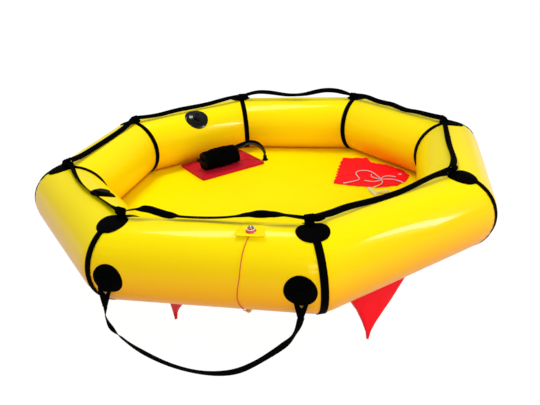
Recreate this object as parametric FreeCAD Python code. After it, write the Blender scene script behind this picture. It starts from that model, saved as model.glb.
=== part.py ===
"""Open inflatable liferaft: an octagonal buoyancy tube with a floor, a webbing lifeline, a boarding
strap, ballast bags, a locator light, valves, a gas cylinder and the gear that lies in it.

Millimetres. +Z is up, -Y is the boarding side. The origin is on the raft's upright axis, level with
the underside of the tube, which is the water's surface under an empty raft.
"""
import FreeCAD, Part
import math
import os

V = FreeCAD.Vector
UP = V(0, 0, 1)
FIT = 0.3                       # clearance between pieces that lie on or move past each other
PIN_FIT = 0.2                   # round a hinge's pin

# buoyancy tube
SIDES = 8
CORNER_REACH = 850.0            # from the upright axis to the tube's centreline at a corner
TUBE_RADIUS = 140.0
TURN = 360.0 / SIDES
HALF_TURN = math.radians(TURN / 2)
HALF_SIDE = CORNER_REACH * math.sin(HALF_TURN)
APOTHEM = CORNER_REACH * math.cos(HALF_TURN)    # from the upright axis to a side's centreline

# floor
FLOOR_TOP = 13.0
FLOOR_THICKNESS = 2.0
TAPE_WIDTH = 24.0
TAPE_THICKNESS = 1.0
FLOOR_EDGE = APOTHEM - math.sqrt(TUBE_RADIUS ** 2 - (TUBE_RADIUS - FLOOR_TOP) ** 2)

# webbing and bonded patches
WEBBING_WIDTH = 25.0
WEBBING_THICKNESS = 2.0
PATCH_THICKNESS = 2.5
ANCHOR_PATCH_RADIUS = 53.0
ANCHOR_PATCH_LEAN = 10.0        # degrees outward from straight up
ANCHOR_INSET = 30.0             # the loop stands this far inside the centreline corner
LOOP_LENGTH = 30.0
LOOP_WALL = 4.0
KNOT_RADIUS = 8.0
LINE_HEIGHT = 303.0             # centre of the lifeline where it passes through a loop
KNOT_LENGTH = 34.0
LINE_DIAMETER = 12.0

# boarding strap
STRAP_PATCH_RADIUS = 51.0
STRAP_PATCH_INSET = 17.3        # from the corner's mitre, along the boarding side
TAB_WIDTH = 44.0
TAB_TIP_WIDTH = 15.0
TAB_THICKNESS = 4.0
TAB_TOP = 150.0
TAB_SHOULDER = 103.0
TAB_PLACES = {"left": (-1, -10, -27, 40), "right": (1, 4, -3, 46)}  # way, top, bottom, tip's height
TAB_GAP_WIDTH = 18.0
TAB_GAP_DEPTH = 12.0
STRAP_DIAMETER = 12.0

# ballast bags
BAG_LENGTH = 300.0
BAG_WIDTH = 80.0
BAG_DEPTH = 280.0
BAG_WALL = 2.0
BAG_TIP = 12.0
BAG_TIP_DRIFT = 20.0            # the tip hangs this far to one side of the mouth's middle
BAG_WAIST_SHARE = 0.42          # half way down, the bag is this share of its mouth
BAG_INLET_LENGTH = 84.0
BAG_INLET_HEIGHT = 38.0
BAG_INLET_DROP = 55.0
BAG_PLACES = [(1, -52.8, 32.2), (7, 216.6, 194.2), (5, -52.8, 32.2), (3, 216.6, 194.2)]

# locator light
LAMP_PLACE = 143.0              # from the middle of the boarding side
LAMP_ANGLE = 77.0               # up from the outward direction, about the tube's centreline
LAMP_BASE_RADIUS = 17.0
LAMP_BASE_HEIGHT = 8.0
LAMP_DOME_RADIUS = 11.0
LAMP_DOME_WALL = 1.5
LAMP_BULB_RADIUS = 4.0
FLAP_THICKNESS = 2.0
FLAP_TOP_ANGLE = 104.0
FLAP_LIFT_ANGLE = 86.0
FLAP_LIP = 52.0
FLAP_TOP_WIDTH = 52.0
FLAP_LIP_WIDTH = 100.0
LEAD_DIAMETER = 3.0
CELL_RADIUS = 10.0
CELL_LENGTH = 60.0
CELL_ANGLE = -87.0
CELL_PLACE = 112.0

# topping-up valve
VALVE_SIDE = 5
VALVE_ANGLE = 128.0
VALVE_PATCH_RADIUS = 62.0
VALVE_FLANGE_RADIUS = 40.0
VALVE_NECK_RADIUS = 17.0
VALVE_NECK_HEIGHT = 12.0
VALVE_BORE_RADIUS = 9.0
VALVE_BORE_DEPTH = 11.0
CAP_RADIUS = 20.0
CAP_THICKNESS = 5.0
HINGE_RADIUS = 2.5
HINGE_PIN_RADIUS = 1.0
EAR_PLACE = 7.5                 # from the hinge's middle to each ear's middle
EAR_THICKNESS = 3.0

# relief valve
RELIEF_SIDE = 7
RELIEF_PLACE = 45.0
RELIEF_ANGLE = 110.0
RELIEF_PATCH_RADIUS = 46.0
RELIEF_BODY_RADIUS = 24.0
RELIEF_BODY_HEIGHT = 8.0
RELIEF_SEAT_RADIUS = 12.0
RELIEF_STROKE = 2.0

# valise, hand pump and its hose
GEAR_SIDE = 5
VALISE_LENGTH = 360.0
VALISE_WIDTH = 266.0
VALISE_PLACE = -44.0
VALISE_REACH = 556.0            # from the upright axis to the valise's middle
VALISE_HEM = 30.0
VALISE_HEM_THICKNESS = 4.0
VALISE_HEIGHT = 24.0
PUMP_RADIUS = 42.0
PUMP_LENGTH = 190.0
PUMP_WALL = 3.0
PUMP_PLACE = -15.0
PUMP_REACH = 500.0
PUMP_CAP_LENGTH = 14.0
PUMP_ROD_RADIUS = 6.0
PUMP_HANDLE_RADIUS = 8.0
PUMP_HANDLE_LENGTH = 84.0
PUMP_HANDLE_REACH = 12.0    # from the barrel's end to the handle's middle, pushed in
PISTON_LENGTH = 14.0
SPIGOT_RISE = 26.0              # the hose leaves this far above the pump's axis
SPIGOT_LENGTH = 14.0
HOSE_DIAMETER = 12.0
ADAPTOR_RADIUS = 15.0
ADAPTOR_HEIGHT = 26.0

# sea anchor
ANCHOR_CLOTH_THICKNESS = 6.0
GROMMET_RADIUS = 5.0
ANCHOR_CORD_DIAMETER = 4.0

# gas cylinder
CYLINDER_SIDE = 4
CYLINDER_RADIUS = 38.0
CYLINDER_LENGTH = 330.0
CYLINDER_ANGLE = -8.0
CRADLE_LENGTH = 170.0
CRADLE_WALL = 2.5
CRADLE_ABOVE = 45.0             # cloth bonded to the tube above the sleeve
CRADLE_BELOW = 25.0
NECK_RADIUS = 13.0
HEAD_RADIUS = 17.0
HEAD_LENGTH = 44.0
INLET_RADIUS = 8.0
LEVER_LENGTH = 46.0
LEVER_WIDTH = 12.0
LEVER_THICKNESS = 3.0
LEVER_PIN_RADIUS = 2.5

# Lifeline, one list for each side in turn from the boarding side, anticlockwise from above. Each point
# is (along the side, outward from the tube's centreline, height).
LINE_ROUTES = [
    [(-303, -25, 303), (-262, -28, 311), (-218, -28, 314), (-182, -28, 302), (-145, -29, 291),
     (-80, -30, 287), (0, -28, 289), (65, -26, 296), (120, -25, 308), (178, -24, 312),
     (245, -26, 310), (303, -25, 303)],
    [(-303, -25, 303), (-245, -26, 293), (-175, -25, 297), (-115, -26, 291), (-57, -24, 286.5),
     (0, -22, 285), (60, -20, 286), (120, -22, 290), (180, -26, 295), (240, -27, 299),
     (303, -25, 303)],
    [(-303, -25, 303), (-245, -15, 300), (-180, -11, 294), (-110, -13, 291), (-30, -17, 288),
     (60, -19, 287), (150, -19, 288), (235, -22, 294), (303, -25, 303)],
    [(-303, -25, 303), (-235, -26, 300), (-160, -27, 302), (-80, -27, 295), (-30, -26, 299),
     (17, -27, 306), (75, -26, 303), (130, -27, 303), (190, -26, 310), (250, -27, 311),
     (303, -25, 303)],
    [(-303, -25, 303), (-260, -27, 318), (-212, -27, 329), (-160, -27, 331), (-108, -26, 322),
     (-56, -27, 310), (0, -28, 305), (55, -27, 306), (105, -26, 314), (157, -27, 322),
     (212, -27, 325), (262, -27, 316), (303, -25, 303)],
    [(-303, -25, 303), (-244, -26, 305), (-180, -27, 302), (-117, -27, 297), (-50, -26, 296),
     (10, -27, 298), (65, -27, 299), (120, -26, 297), (176, -27, 294), (240, -27, 296),
     (303, -25, 303)],
    [(-303, -25, 303), (-240, -26, 294), (-170, -26, 289), (-90, -25, 287), (0, -26, 288),
     (90, -26, 290), (180, -25, 291), (245, -26, 295), (303, -25, 303)],
    [(-303, -25, 303), (-255, -20, 293), (-200, -12, 288), (-143, -6, 287), (-85, -2, 287.5),
     (-30, -1, 289), (25, -4, 290), (85, -10, 289.5), (140, -17, 287), (195, -22, 288),
     (250, -25, 294), (303, -25, 303)],
]

# Boarding strap, from the left tab to the right one.
STRAP_ROUTE = [
    (-333, -928, 46), (-341, -930, 18), (-340, -930, -8), (-330, -932, -38), (-303, -933, -70),
    (-266, -932, -107),
    (-205, -929, -149), (-135, -927, -181), (-55, -926, -198), (22, -927, -195), (90, -929, -175),
    (153, -931, -133), (212, -932, -85), (255, -932, -46), (281, -931, -13), (299, -929, 20),
    (306, -928, 52),
]

# Lamp lead, from under the flap round the tube to the sea-water cell.
LEAD_ROUTE = [
    (142, -828.3, 275.9), (138, -852.4, 266.2), (133, -875.1, 250.9), (130, -894.5, 231.7),
    (128, -911.2, 206.9), (126, -922.4, 179.3), (120, -927.6, 149.9), (114, -926.5, 120.2),
    (111, -919.3, 91.2), (113, -906.2, 64.4), (116, -887.9, 40.9), (113, -872.3, 24.6),
    (112, -848.5, 5.5), (112, -823.2, -8.5),
]

# Pump hose, in the gear side's frame: (along the side, outward from the upright axis, height).
HOSE_ROUTE = [
    (-124, 500, 105.6), (-142, 500, 105.6), (-168, 496, 112), (-195, 489, 115), (-222, 480, 108),
    (-246, 470, 88), (-264, 462, 60), (-264, 462, 39),
]

# Sea anchor cloth's outline and cord, lying on the floor.
CLOTH_OUTLINE = [
    (269, 563), (398, 572), (432, 497), (505, 472), (585, 402), (622, 330), (606, 255), (566, 200),
    (478, 170), (372, 180), (265, 203), (262, 390),
]
GROMMET_PLACE = (575, 335)
CORD_ROUTE = [
    (315, 196), (352, 214), (390, 247), (376, 285), (359, 323), (372, 360), (414, 368), (445, 341),
    (468, 297), (490, 256), (499, 212), (480, 176), (446, 145.5),
]
CORD_TAIL = [(494, 256), (532, 262), (570, 246), (594, 214)]
KNOT_PLACE = CORD_ROUTE[9]
TOGGLE_ENDS = [(440, 140), (474, 71)]
HANK_ENDS = [(473, 101), (525, 118)]


def side_frame(shape, side):
    """Turn a shape made on the boarding side to another side of the octagon."""
    shape.rotate(V(0, 0, 0), UP, side * TURN)
    return shape


def corner_frame(shape, corner):
    """Turn a shape made at a corner on the -Y axis to one of the octagon's corners."""
    shape.rotate(V(0, 0, 0), UP, (corner - 0.5) * TURN)
    return shape


def on_tube(along, angle, height):
    """A point at a height above the tube's skin, and the skin's outward direction there."""
    turn = math.radians(angle)
    normal = V(0, -math.cos(turn), math.sin(turn))
    return V(along, -APOTHEM, TUBE_RADIUS) + normal * (TUBE_RADIUS + height), normal


def rod(start, end, radius):
    return Part.makeCylinder(radius, (end - start).Length, start, end - start)


def plate(points, thickness):
    """A flat plate with a polygon outline, upward from height zero."""
    outline = Part.makePolygon([V(x, y, 0) for x, y in points + points[:1]])
    return Part.Face(outline).extrude(V(0, 0, thickness))


def bent_tube(points, diameter, name):
    """A tube along straight runs joined by tangent arcs as large as the runs allow."""
    points = [V(*p) for p in points]
    edges, radii, start = [], [], points[0]
    for before, corner, after in zip(points, points[1:], points[2:]):
        into = (corner - before).normalize()
        out = (after - corner).normalize()
        turn = into.getAngle(out)
        back = 0.45 * min((corner - before).Length, (after - corner).Length)
        radius = back / math.tan(turn / 2)
        radii.append(radius)
        first, last = corner - into * back, corner + out * back
        middle = corner + (out - into).normalize() * radius * (1 / math.cos(turn / 2) - 1)
        edges.append(Part.LineSegment(start, first).toShape())
        edges.append(Part.Arc(first, middle, last).toShape())
        start = last
    edges.append(Part.LineSegment(start, points[-1]).toShape())
    path = Part.Wire(edges)
    ring = Part.Wire([Part.Circle(points[0], points[1] - points[0], diameter / 2).toShape()])
    tube = path.makePipeShell([ring], True, True)
    expected = math.pi * diameter ** 2 / 4 * path.Length
    print(f"{name}: length {path.Length:.0f}, smallest radius {min(radii):.0f}, "
          f"volume {tube.Volume / expected:.3f} of section times length")
    return tube


def save(name, shape):
    solids = shape.Solids
    if not solids or not shape.isValid():
        raise ValueError(f"{name} is not a valid solid")
    solid = solids[0] if len(solids) == 1 else Part.makeCompound(solids)
    solid.exportStep(f"parts/{name}.step")


def corner_zone(radius):
    """The tube about one corner, out to the middle of each side, for a corner on the -Y axis."""
    corner = V(0, -CORNER_REACH, TUBE_RADIUS)
    reach = 2 * CORNER_REACH
    halves = []
    for way in (-1, 1):
        along = V(way * math.cos(HALF_TURN), math.sin(HALF_TURN), 0)
        half = Part.makeCylinder(radius, HALF_SIDE, corner, along)
        room = Part.makeBox(reach, 2 * reach, 2 * reach, V(0 if way > 0 else -reach, -reach, -reach))
        halves.append(half.common(room))
    knuckle = Part.makeSphere(radius, corner, UP, -90, 90, TURN)
    knuckle.rotate(corner, UP, -90 - TURN / 2)
    return halves[0].fuse([halves[1], knuckle]).removeSplitter()


def whole_ring(zone):
    zones = [corner_frame(zone.copy(), corner) for corner in range(SIDES)]
    return zones[0].fuse(zones[1:]).removeSplitter()


def skin_patch(skin, bare, centre, normal, radius):
    """A round patch bonded to the tube: the part of a skin inside a cylinder along the normal."""
    punch = Part.makeCylinder(radius, 2 * TUBE_RADIUS, centre - normal * (TUBE_RADIUS / 2), normal)
    return skin.common(punch).cut(bare)


def octagon(apothem, bottom, height):
    reach = apothem / math.cos(HALF_TURN)
    turns = [math.radians(TURN * (i + 0.5) - 90) for i in range(SIDES)]
    shape = plate([(reach * math.cos(a), reach * math.sin(a)) for a in turns], height)
    shape.translate(V(0, 0, bottom))
    return shape


def floor_and_tape(tube, bands):
    """Floor sheet and the tape over its weld, both let in round the corner hoops."""
    sheet = octagon(APOTHEM, FLOOR_TOP - FLOOR_THICKNESS, FLOOR_THICKNESS)
    save("floor_sheet", sheet.cut([tube, *bands]))
    hole = octagon(FLOOR_EDGE - TAPE_WIDTH, FLOOR_TOP, TAPE_THICKNESS)
    save("floor_seam_tape", octagon(APOTHEM, FLOOR_TOP, TAPE_THICKNESS).cut([hole, tube, *bands]))


def lifeline_anchor(zone):
    """Round patch, a fold of webbing sewn upright on it, and the lifeline's knot in the fold's eye."""
    lean = math.radians(ANCHOR_PATCH_LEAN)
    normal = V(0, -math.sin(lean), math.cos(lean))
    corner = V(0, -CORNER_REACH, TUBE_RADIUS)
    skin = corner_zone(TUBE_RADIUS + PATCH_THICKNESS)
    patch = skin_patch(skin, zone, corner + normal * TUBE_RADIUS, normal, ANCHOR_PATCH_RADIUS)
    reach = CORNER_REACH - ANCHOR_INSET
    stem_bottom = TUBE_RADIUS * 1.9
    stem = Part.makeBox(LOOP_LENGTH, 2 * LOOP_WALL, LINE_HEIGHT - stem_bottom,
                        V(-LOOP_LENGTH / 2, -reach - LOOP_WALL, stem_bottom))
    tangent = V(1, 0, 0)
    eye = Part.makeCylinder(KNOT_RADIUS + LOOP_WALL, LOOP_LENGTH, V(-LOOP_LENGTH / 2, -reach, LINE_HEIGHT),
                            tangent)
    knot = Part.makeCylinder(KNOT_RADIUS, KNOT_LENGTH, V(-KNOT_LENGTH / 2, -reach, LINE_HEIGHT), tangent)
    return stem.fuse([eye, knot]).cut(zone).fuse(patch)


def corners(zone):
    """The anchor and the hoop of webbing at each corner. Gives back the hoops."""
    anchor = lifeline_anchor(zone)
    slab = Part.makeBox(WEBBING_WIDTH, 3 * TUBE_RADIUS, 4 * TUBE_RADIUS,
                        V(-WEBBING_WIDTH / 2, -CORNER_REACH - 1.5 * TUBE_RADIUS, -TUBE_RADIUS))
    band = corner_zone(TUBE_RADIUS + WEBBING_THICKNESS).common(slab).cut(zone).cut(anchor)
    band = max(band.Solids, key=lambda s: s.Volume)
    bands = []
    for corner in range(SIDES):
        save(f"lifeline_anchor_{corner + 1}", corner_frame(anchor.copy(), corner))
        bands.append(corner_frame(band.copy(), corner))
        save(f"corner_band_{corner + 1}", bands[-1])
    return bands


def lifeline():
    """Eight spans of webbing, from knot to knot."""
    for side, route in enumerate(LINE_ROUTES):
        points = [(along, -APOTHEM - outward, height) for along, outward, height in route]
        span = bent_tube(points, LINE_DIAMETER, f"lifeline_{side + 1}")
        save(f"lifeline_{side + 1}", side_frame(span, side))


def strap_tab(name, skin):
    """A webbing tab that hangs from its patch, folded to a point, with a gap above the fold."""
    way, top, bottom, tip_height = TAB_PLACES[name]
    top += way * (HALF_SIDE - STRAP_PATCH_INSET)
    bottom += way * (HALF_SIDE - STRAP_PATCH_INSET)
    shoulder = top + (bottom - top) * 0.35
    half, tip = TAB_WIDTH / 2, TAB_TIP_WIDTH / 2
    outline = [(top - half, TAB_TOP), (top + half, TAB_TOP), (shoulder + half, TAB_SHOULDER),
               (bottom + tip, tip_height), (bottom - tip, tip_height), (shoulder - half, TAB_SHOULDER)]
    gap_top = TAB_SHOULDER - TAB_THICKNESS
    gap = [(shoulder - TAB_GAP_WIDTH / 2, gap_top), (shoulder + TAB_GAP_WIDTH / 2, gap_top),
           (shoulder, gap_top - TAB_GAP_DEPTH)]
    tab = plate(outline, TAB_THICKNESS).cut(plate(gap, TAB_THICKNESS))
    tab.rotate(V(0, 0, 0), V(1, 0, 0), 90)
    tab.translate(V(0, -APOTHEM - TUBE_RADIUS - PATCH_THICKNESS + TAB_THICKNESS * 0.4, 0))
    return tab.cut(skin)


def boarding_strap(tube, skin):
    for name, (way, *_) in TAB_PLACES.items():
        centre, normal = on_tube(way * (HALF_SIDE - STRAP_PATCH_INSET), 1.0, 0)
        save(f"strap_patch_{name}", skin_patch(skin, tube, centre, normal, STRAP_PATCH_RADIUS))
        save(f"strap_tab_{name}", strap_tab(name, skin))
    save("boarding_strap", bent_tube(STRAP_ROUTE, STRAP_DIAMETER, "boarding_strap"))


def bag_shape(wall):
    """A pyramid of cloth hanging from a mouth at the floor's underside, drawn in by its wall."""
    mouth = FLOOR_TOP - FLOOR_THICKNESS
    sections = []
    for height, share in ((mouth, 1.0), (mouth / 2 - BAG_DEPTH / 2, BAG_WAIST_SHARE)):
        sections.append((height, BAG_LENGTH * share / 2 - wall, BAG_WIDTH * share / 2 - wall, 0))
    if wall == 0:
        sections.append((-BAG_DEPTH, BAG_TIP / 2, BAG_TIP / 2, -BAG_TIP_DRIFT))
    else:
        sections.append((-BAG_DEPTH + BAG_TIP, BAG_TIP / 4, BAG_TIP / 4, -BAG_TIP_DRIFT))
    wires = []
    for z, x, y, drift in sections:
        rim = [V(drift - x, -y, z), V(drift + x, -y, z), V(drift + x, y, z), V(drift - x, y, z)]
        wires.append(Part.makePolygon(rim + rim[:1]))
    return Part.makeLoft(wires, True, True)


def ballast_bags(tube):
    """Four bags, each with one slot for the water in the face towards the raft's middle."""
    inlet = Part.makeBox(BAG_INLET_LENGTH, BAG_WIDTH, BAG_INLET_HEIGHT,
                         V(-BAG_INLET_LENGTH / 2, 0, -BAG_INLET_DROP - BAG_INLET_HEIGHT / 2))
    bag = bag_shape(0).cut(bag_shape(BAG_WALL)).cut(inlet)
    for number, (side, along, inboard) in enumerate(BAG_PLACES, 1):
        hung = bag.copy()
        hung.translate(V(along, inboard - APOTHEM, 0))
        hung = side_frame(hung, side).cut(tube)
        save(f"ballast_bag_{number}", max(hung.Solids, key=lambda s: s.Volume))


def lamp_flap():
    """A tapered tongue of tube fabric: bonded along the top of the tube, with its lip standing off."""
    low, high = TUBE_RADIUS, TUBE_RADIUS + FLAP_THICKNESS
    lift, top = math.radians(FLAP_LIFT_ANGLE), math.radians(FLAP_TOP_ANGLE)
    middle = (lift + top) / 2
    centre = V(0, -APOTHEM, TUBE_RADIUS)

    def at(radius, angle):
        return centre + V(0, -math.cos(angle), math.sin(angle)) * radius

    down = V(0, -math.sin(lift), -math.cos(lift))
    edges = [
        Part.Arc(at(low, top), at(low, middle), at(low, lift)).toShape(),
        Part.LineSegment(at(low, lift), at(low, lift) + down * FLAP_LIP).toShape(),
        Part.LineSegment(at(low, lift) + down * FLAP_LIP, at(high, lift) + down * FLAP_LIP).toShape(),
        Part.LineSegment(at(high, lift) + down * FLAP_LIP, at(high, lift)).toShape(),
        Part.Arc(at(high, lift), at(high, middle), at(high, top)).toShape(),
        Part.LineSegment(at(high, top), at(low, top)).toShape(),
    ]
    sheet = Part.Face(Part.Wire(edges)).extrude(V(2 * FLAP_LIP_WIDTH, 0, 0))
    sheet.translate(V(LAMP_PLACE - FLAP_LIP_WIDTH, 0, 0))
    rear = -at(high, top).y - 1
    front = -(at(high, lift) + down * FLAP_LIP).y + 1
    outline = [(LAMP_PLACE - FLAP_LIP_WIDTH / 2, -front), (LAMP_PLACE + FLAP_LIP_WIDTH / 2, -front),
               (LAMP_PLACE + FLAP_TOP_WIDTH / 2, -rear), (LAMP_PLACE - FLAP_TOP_WIDTH / 2, -rear)]
    return sheet.common(plate(outline, 4 * TUBE_RADIUS))


def dome_shell(centre, normal, radius, wall):
    outer = Part.makeSphere(radius, centre).cut(Part.makeSphere(radius - wall, centre))
    below = Part.makeBox(4 * radius, 4 * radius, 2 * radius, V(-2 * radius, -2 * radius, -2 * radius))
    below.Placement = FreeCAD.Placement(centre, FreeCAD.Rotation(UP, normal)).multiply(below.Placement)
    return outer.cut(below)


def locator_light():
    """Lamp on its flap, with a lead round the tube to a sea-water cell underneath."""
    save("lamp_flap", lamp_flap())
    lift = math.radians(FLAP_LIFT_ANGLE)
    normal = V(0, -math.cos(lift), math.sin(lift))
    down = V(0, -math.sin(lift), -math.cos(lift))
    slide = TUBE_RADIUS * math.radians(FLAP_LIFT_ANGLE - LAMP_ANGLE)
    seat = on_tube(LAMP_PLACE, FLAP_LIFT_ANGLE, FLAP_THICKNESS)[0] + down * slide
    base = Part.makeCone(LAMP_BASE_RADIUS, LAMP_DOME_RADIUS + 2, LAMP_BASE_HEIGHT, seat, normal)
    save("lamp_base", base)
    crown = seat + normal * LAMP_BASE_HEIGHT
    save("lamp_dome", dome_shell(crown, normal, LAMP_DOME_RADIUS, LAMP_DOME_WALL))
    bulb = Part.makeSphere(LAMP_BULB_RADIUS, crown + normal * LAMP_BULB_RADIUS)
    save("lamp_bulb", bulb)
    save("lamp_lead", bent_tube(LEAD_ROUTE, LEAD_DIAMETER, "lamp_lead"))
    middle, _ = on_tube(CELL_PLACE, CELL_ANGLE, CELL_RADIUS + FIT)
    _, upward = on_tube(CELL_PLACE, CELL_ANGLE + 90, 0)
    top = middle + upward * (CELL_LENGTH / 2)
    print("cell's top end", [round(value, 1) for value in top])
    save("sea_water_cell", rod(top, middle - upward * (CELL_LENGTH / 2), CELL_RADIUS))


def topping_up_valve(tube, skin):
    """Patch, moulded neck with a bore, and a cap hinged at the neck's lower edge."""
    seat, normal = on_tube(0, VALVE_ANGLE, PATCH_THICKNESS)
    _, lower = on_tube(0, VALVE_ANGLE + 90, 0)
    patch = skin_patch(skin, tube, seat, normal, VALVE_PATCH_RADIUS)
    flange = Part.makeCone(VALVE_FLANGE_RADIUS, VALVE_NECK_RADIUS + 4, 6, seat - normal, normal)
    neck = Part.makeCylinder(VALVE_NECK_RADIUS, VALVE_NECK_HEIGHT, seat, normal)
    mouth = seat + normal * VALVE_NECK_HEIGHT
    bore = Part.makeCylinder(VALVE_BORE_RADIUS, VALVE_BORE_DEPTH, mouth - normal * VALVE_BORE_DEPTH, normal)
    pivot = mouth + lower * (CAP_RADIUS + HINGE_RADIUS) + normal * (HINGE_RADIUS + FIT)
    across = V(1, 0, 0)
    foot = seat + lower * (CAP_RADIUS + HINGE_RADIUS)
    upright = FreeCAD.Rotation(across, lower, normal, "ZXY")
    ears = []
    for way in (-1, 1):
        side = across * (way * EAR_PLACE - EAR_THICKNESS / 2)
        post = Part.makeBox(EAR_THICKNESS, 2 * HINGE_RADIUS, (pivot - foot).Length)
        post.Placement = FreeCAD.Placement(foot + side - lower * HINGE_RADIUS, upright)
        ears += [post, Part.makeCylinder(HINGE_RADIUS, EAR_THICKNESS, pivot + side, across)]
    pin = Part.makeCylinder(HINGE_PIN_RADIUS, 2 * EAR_PLACE, pivot - across * EAR_PLACE, across)
    body = flange.fuse([neck, *ears, pin]).cut(bore).cut(patch)
    save("valve_patch", side_frame(patch, VALVE_SIDE))
    save("valve_body", side_frame(body, VALVE_SIDE))
    lid = Part.makeCylinder(CAP_RADIUS, CAP_THICKNESS, mouth + normal * FIT, normal)
    half = EAR_PLACE - EAR_THICKNESS / 2 - FIT
    knuckle = Part.makeCylinder(HINGE_RADIUS, 2 * half, pivot - across * half, across)
    strap = Part.makeBox(2 * half, CAP_RADIUS, HINGE_RADIUS)
    strap.Placement = FreeCAD.Placement(pivot - across * half - lower * CAP_RADIUS, upright)
    rib = Part.makeCylinder(CAP_RADIUS - 5, 3, mouth + normal * (CAP_THICKNESS + FIT), normal)
    rib = rib.cut(Part.makeCylinder(CAP_RADIUS - 9, 3, mouth + normal * (CAP_THICKNESS + FIT), normal))
    eye = Part.makeCylinder(HINGE_PIN_RADIUS + PIN_FIT, 2 * EAR_PLACE, pivot - across * EAR_PLACE, across)
    cap = lid.fuse([knuckle, strap, rib]).cut(eye)
    save("valve_cap", side_frame(cap, VALVE_SIDE))
    for vector, label in ((mouth, "valve mouth"), (pivot, "cap hinge"), (normal, "valve axis")):
        turned = Part.Vertex(vector)
        turned.rotate(V(0, 0, 0), UP, VALVE_SIDE * TURN)
        print(label, [round(value, 3) for value in turned.Point])


def relief_valve(tube, skin):
    """Patch, slotted cage and the spring-loaded poppet inside it."""
    seat, normal = on_tube(RELIEF_PLACE, RELIEF_ANGLE, PATCH_THICKNESS)
    patch = skin_patch(skin, tube, seat, normal, RELIEF_PATCH_RADIUS)
    inner = RELIEF_BODY_RADIUS - 3
    cage = Part.makeCylinder(RELIEF_BODY_RADIUS, RELIEF_BODY_HEIGHT + 1, seat - normal, normal)
    room = Part.makeCylinder(inner, RELIEF_BODY_HEIGHT - 2, seat, normal)
    cage = cage.cut(room)
    _, lower = on_tube(RELIEF_PLACE, RELIEF_ANGLE + 90, 0)
    for number in range(6):
        turn = FreeCAD.Rotation(normal, number * 60)
        way = turn.multVec(lower)
        cage = cage.cut(rod(seat + normal * 3, seat + normal * 3 + way * (RELIEF_BODY_RADIUS + 2), 2.0))
        vent = seat + way * (inner * 0.6)
        cage = cage.cut(Part.makeCylinder(2.5, RELIEF_BODY_HEIGHT + 2, vent + normal, normal))
    save("relief_patch", side_frame(patch.copy(), RELIEF_SIDE))
    save("relief_cage", side_frame(cage.cut(patch), RELIEF_SIDE))
    poppet = Part.makeCylinder(RELIEF_SEAT_RADIUS, 2.5, seat + normal * FIT, normal)
    save("relief_poppet", side_frame(poppet, RELIEF_SIDE))
    turned = Part.Vertex(normal)
    turned.rotate(V(0, 0, 0), UP, RELIEF_SIDE * TURN)
    print("relief axis", [round(value, 4) for value in turned.Point])


def valise():
    """Flat fabric case with a sewn hem."""
    bottom = FLOOR_TOP + FIT
    middle = V(VALISE_PLACE, -VALISE_REACH, bottom)
    hem = Part.makeBox(VALISE_LENGTH, VALISE_WIDTH, VALISE_HEM_THICKNESS,
                       middle - V(VALISE_LENGTH / 2, VALISE_WIDTH / 2, 0))
    length, width = VALISE_LENGTH - 2 * VALISE_HEM, VALISE_WIDTH - 2 * VALISE_HEM
    body = Part.makeBox(length, width, VALISE_HEIGHT, middle - V(length / 2, width / 2, 0))
    body = body.makeFillet(VALISE_HEIGHT * 0.4, [e for e in body.Edges
                                                 if e.BoundBox.ZMin > bottom + VALISE_HEIGHT / 2])
    save("valise", side_frame(hem.fuse(body), GEAR_SIDE))


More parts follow.
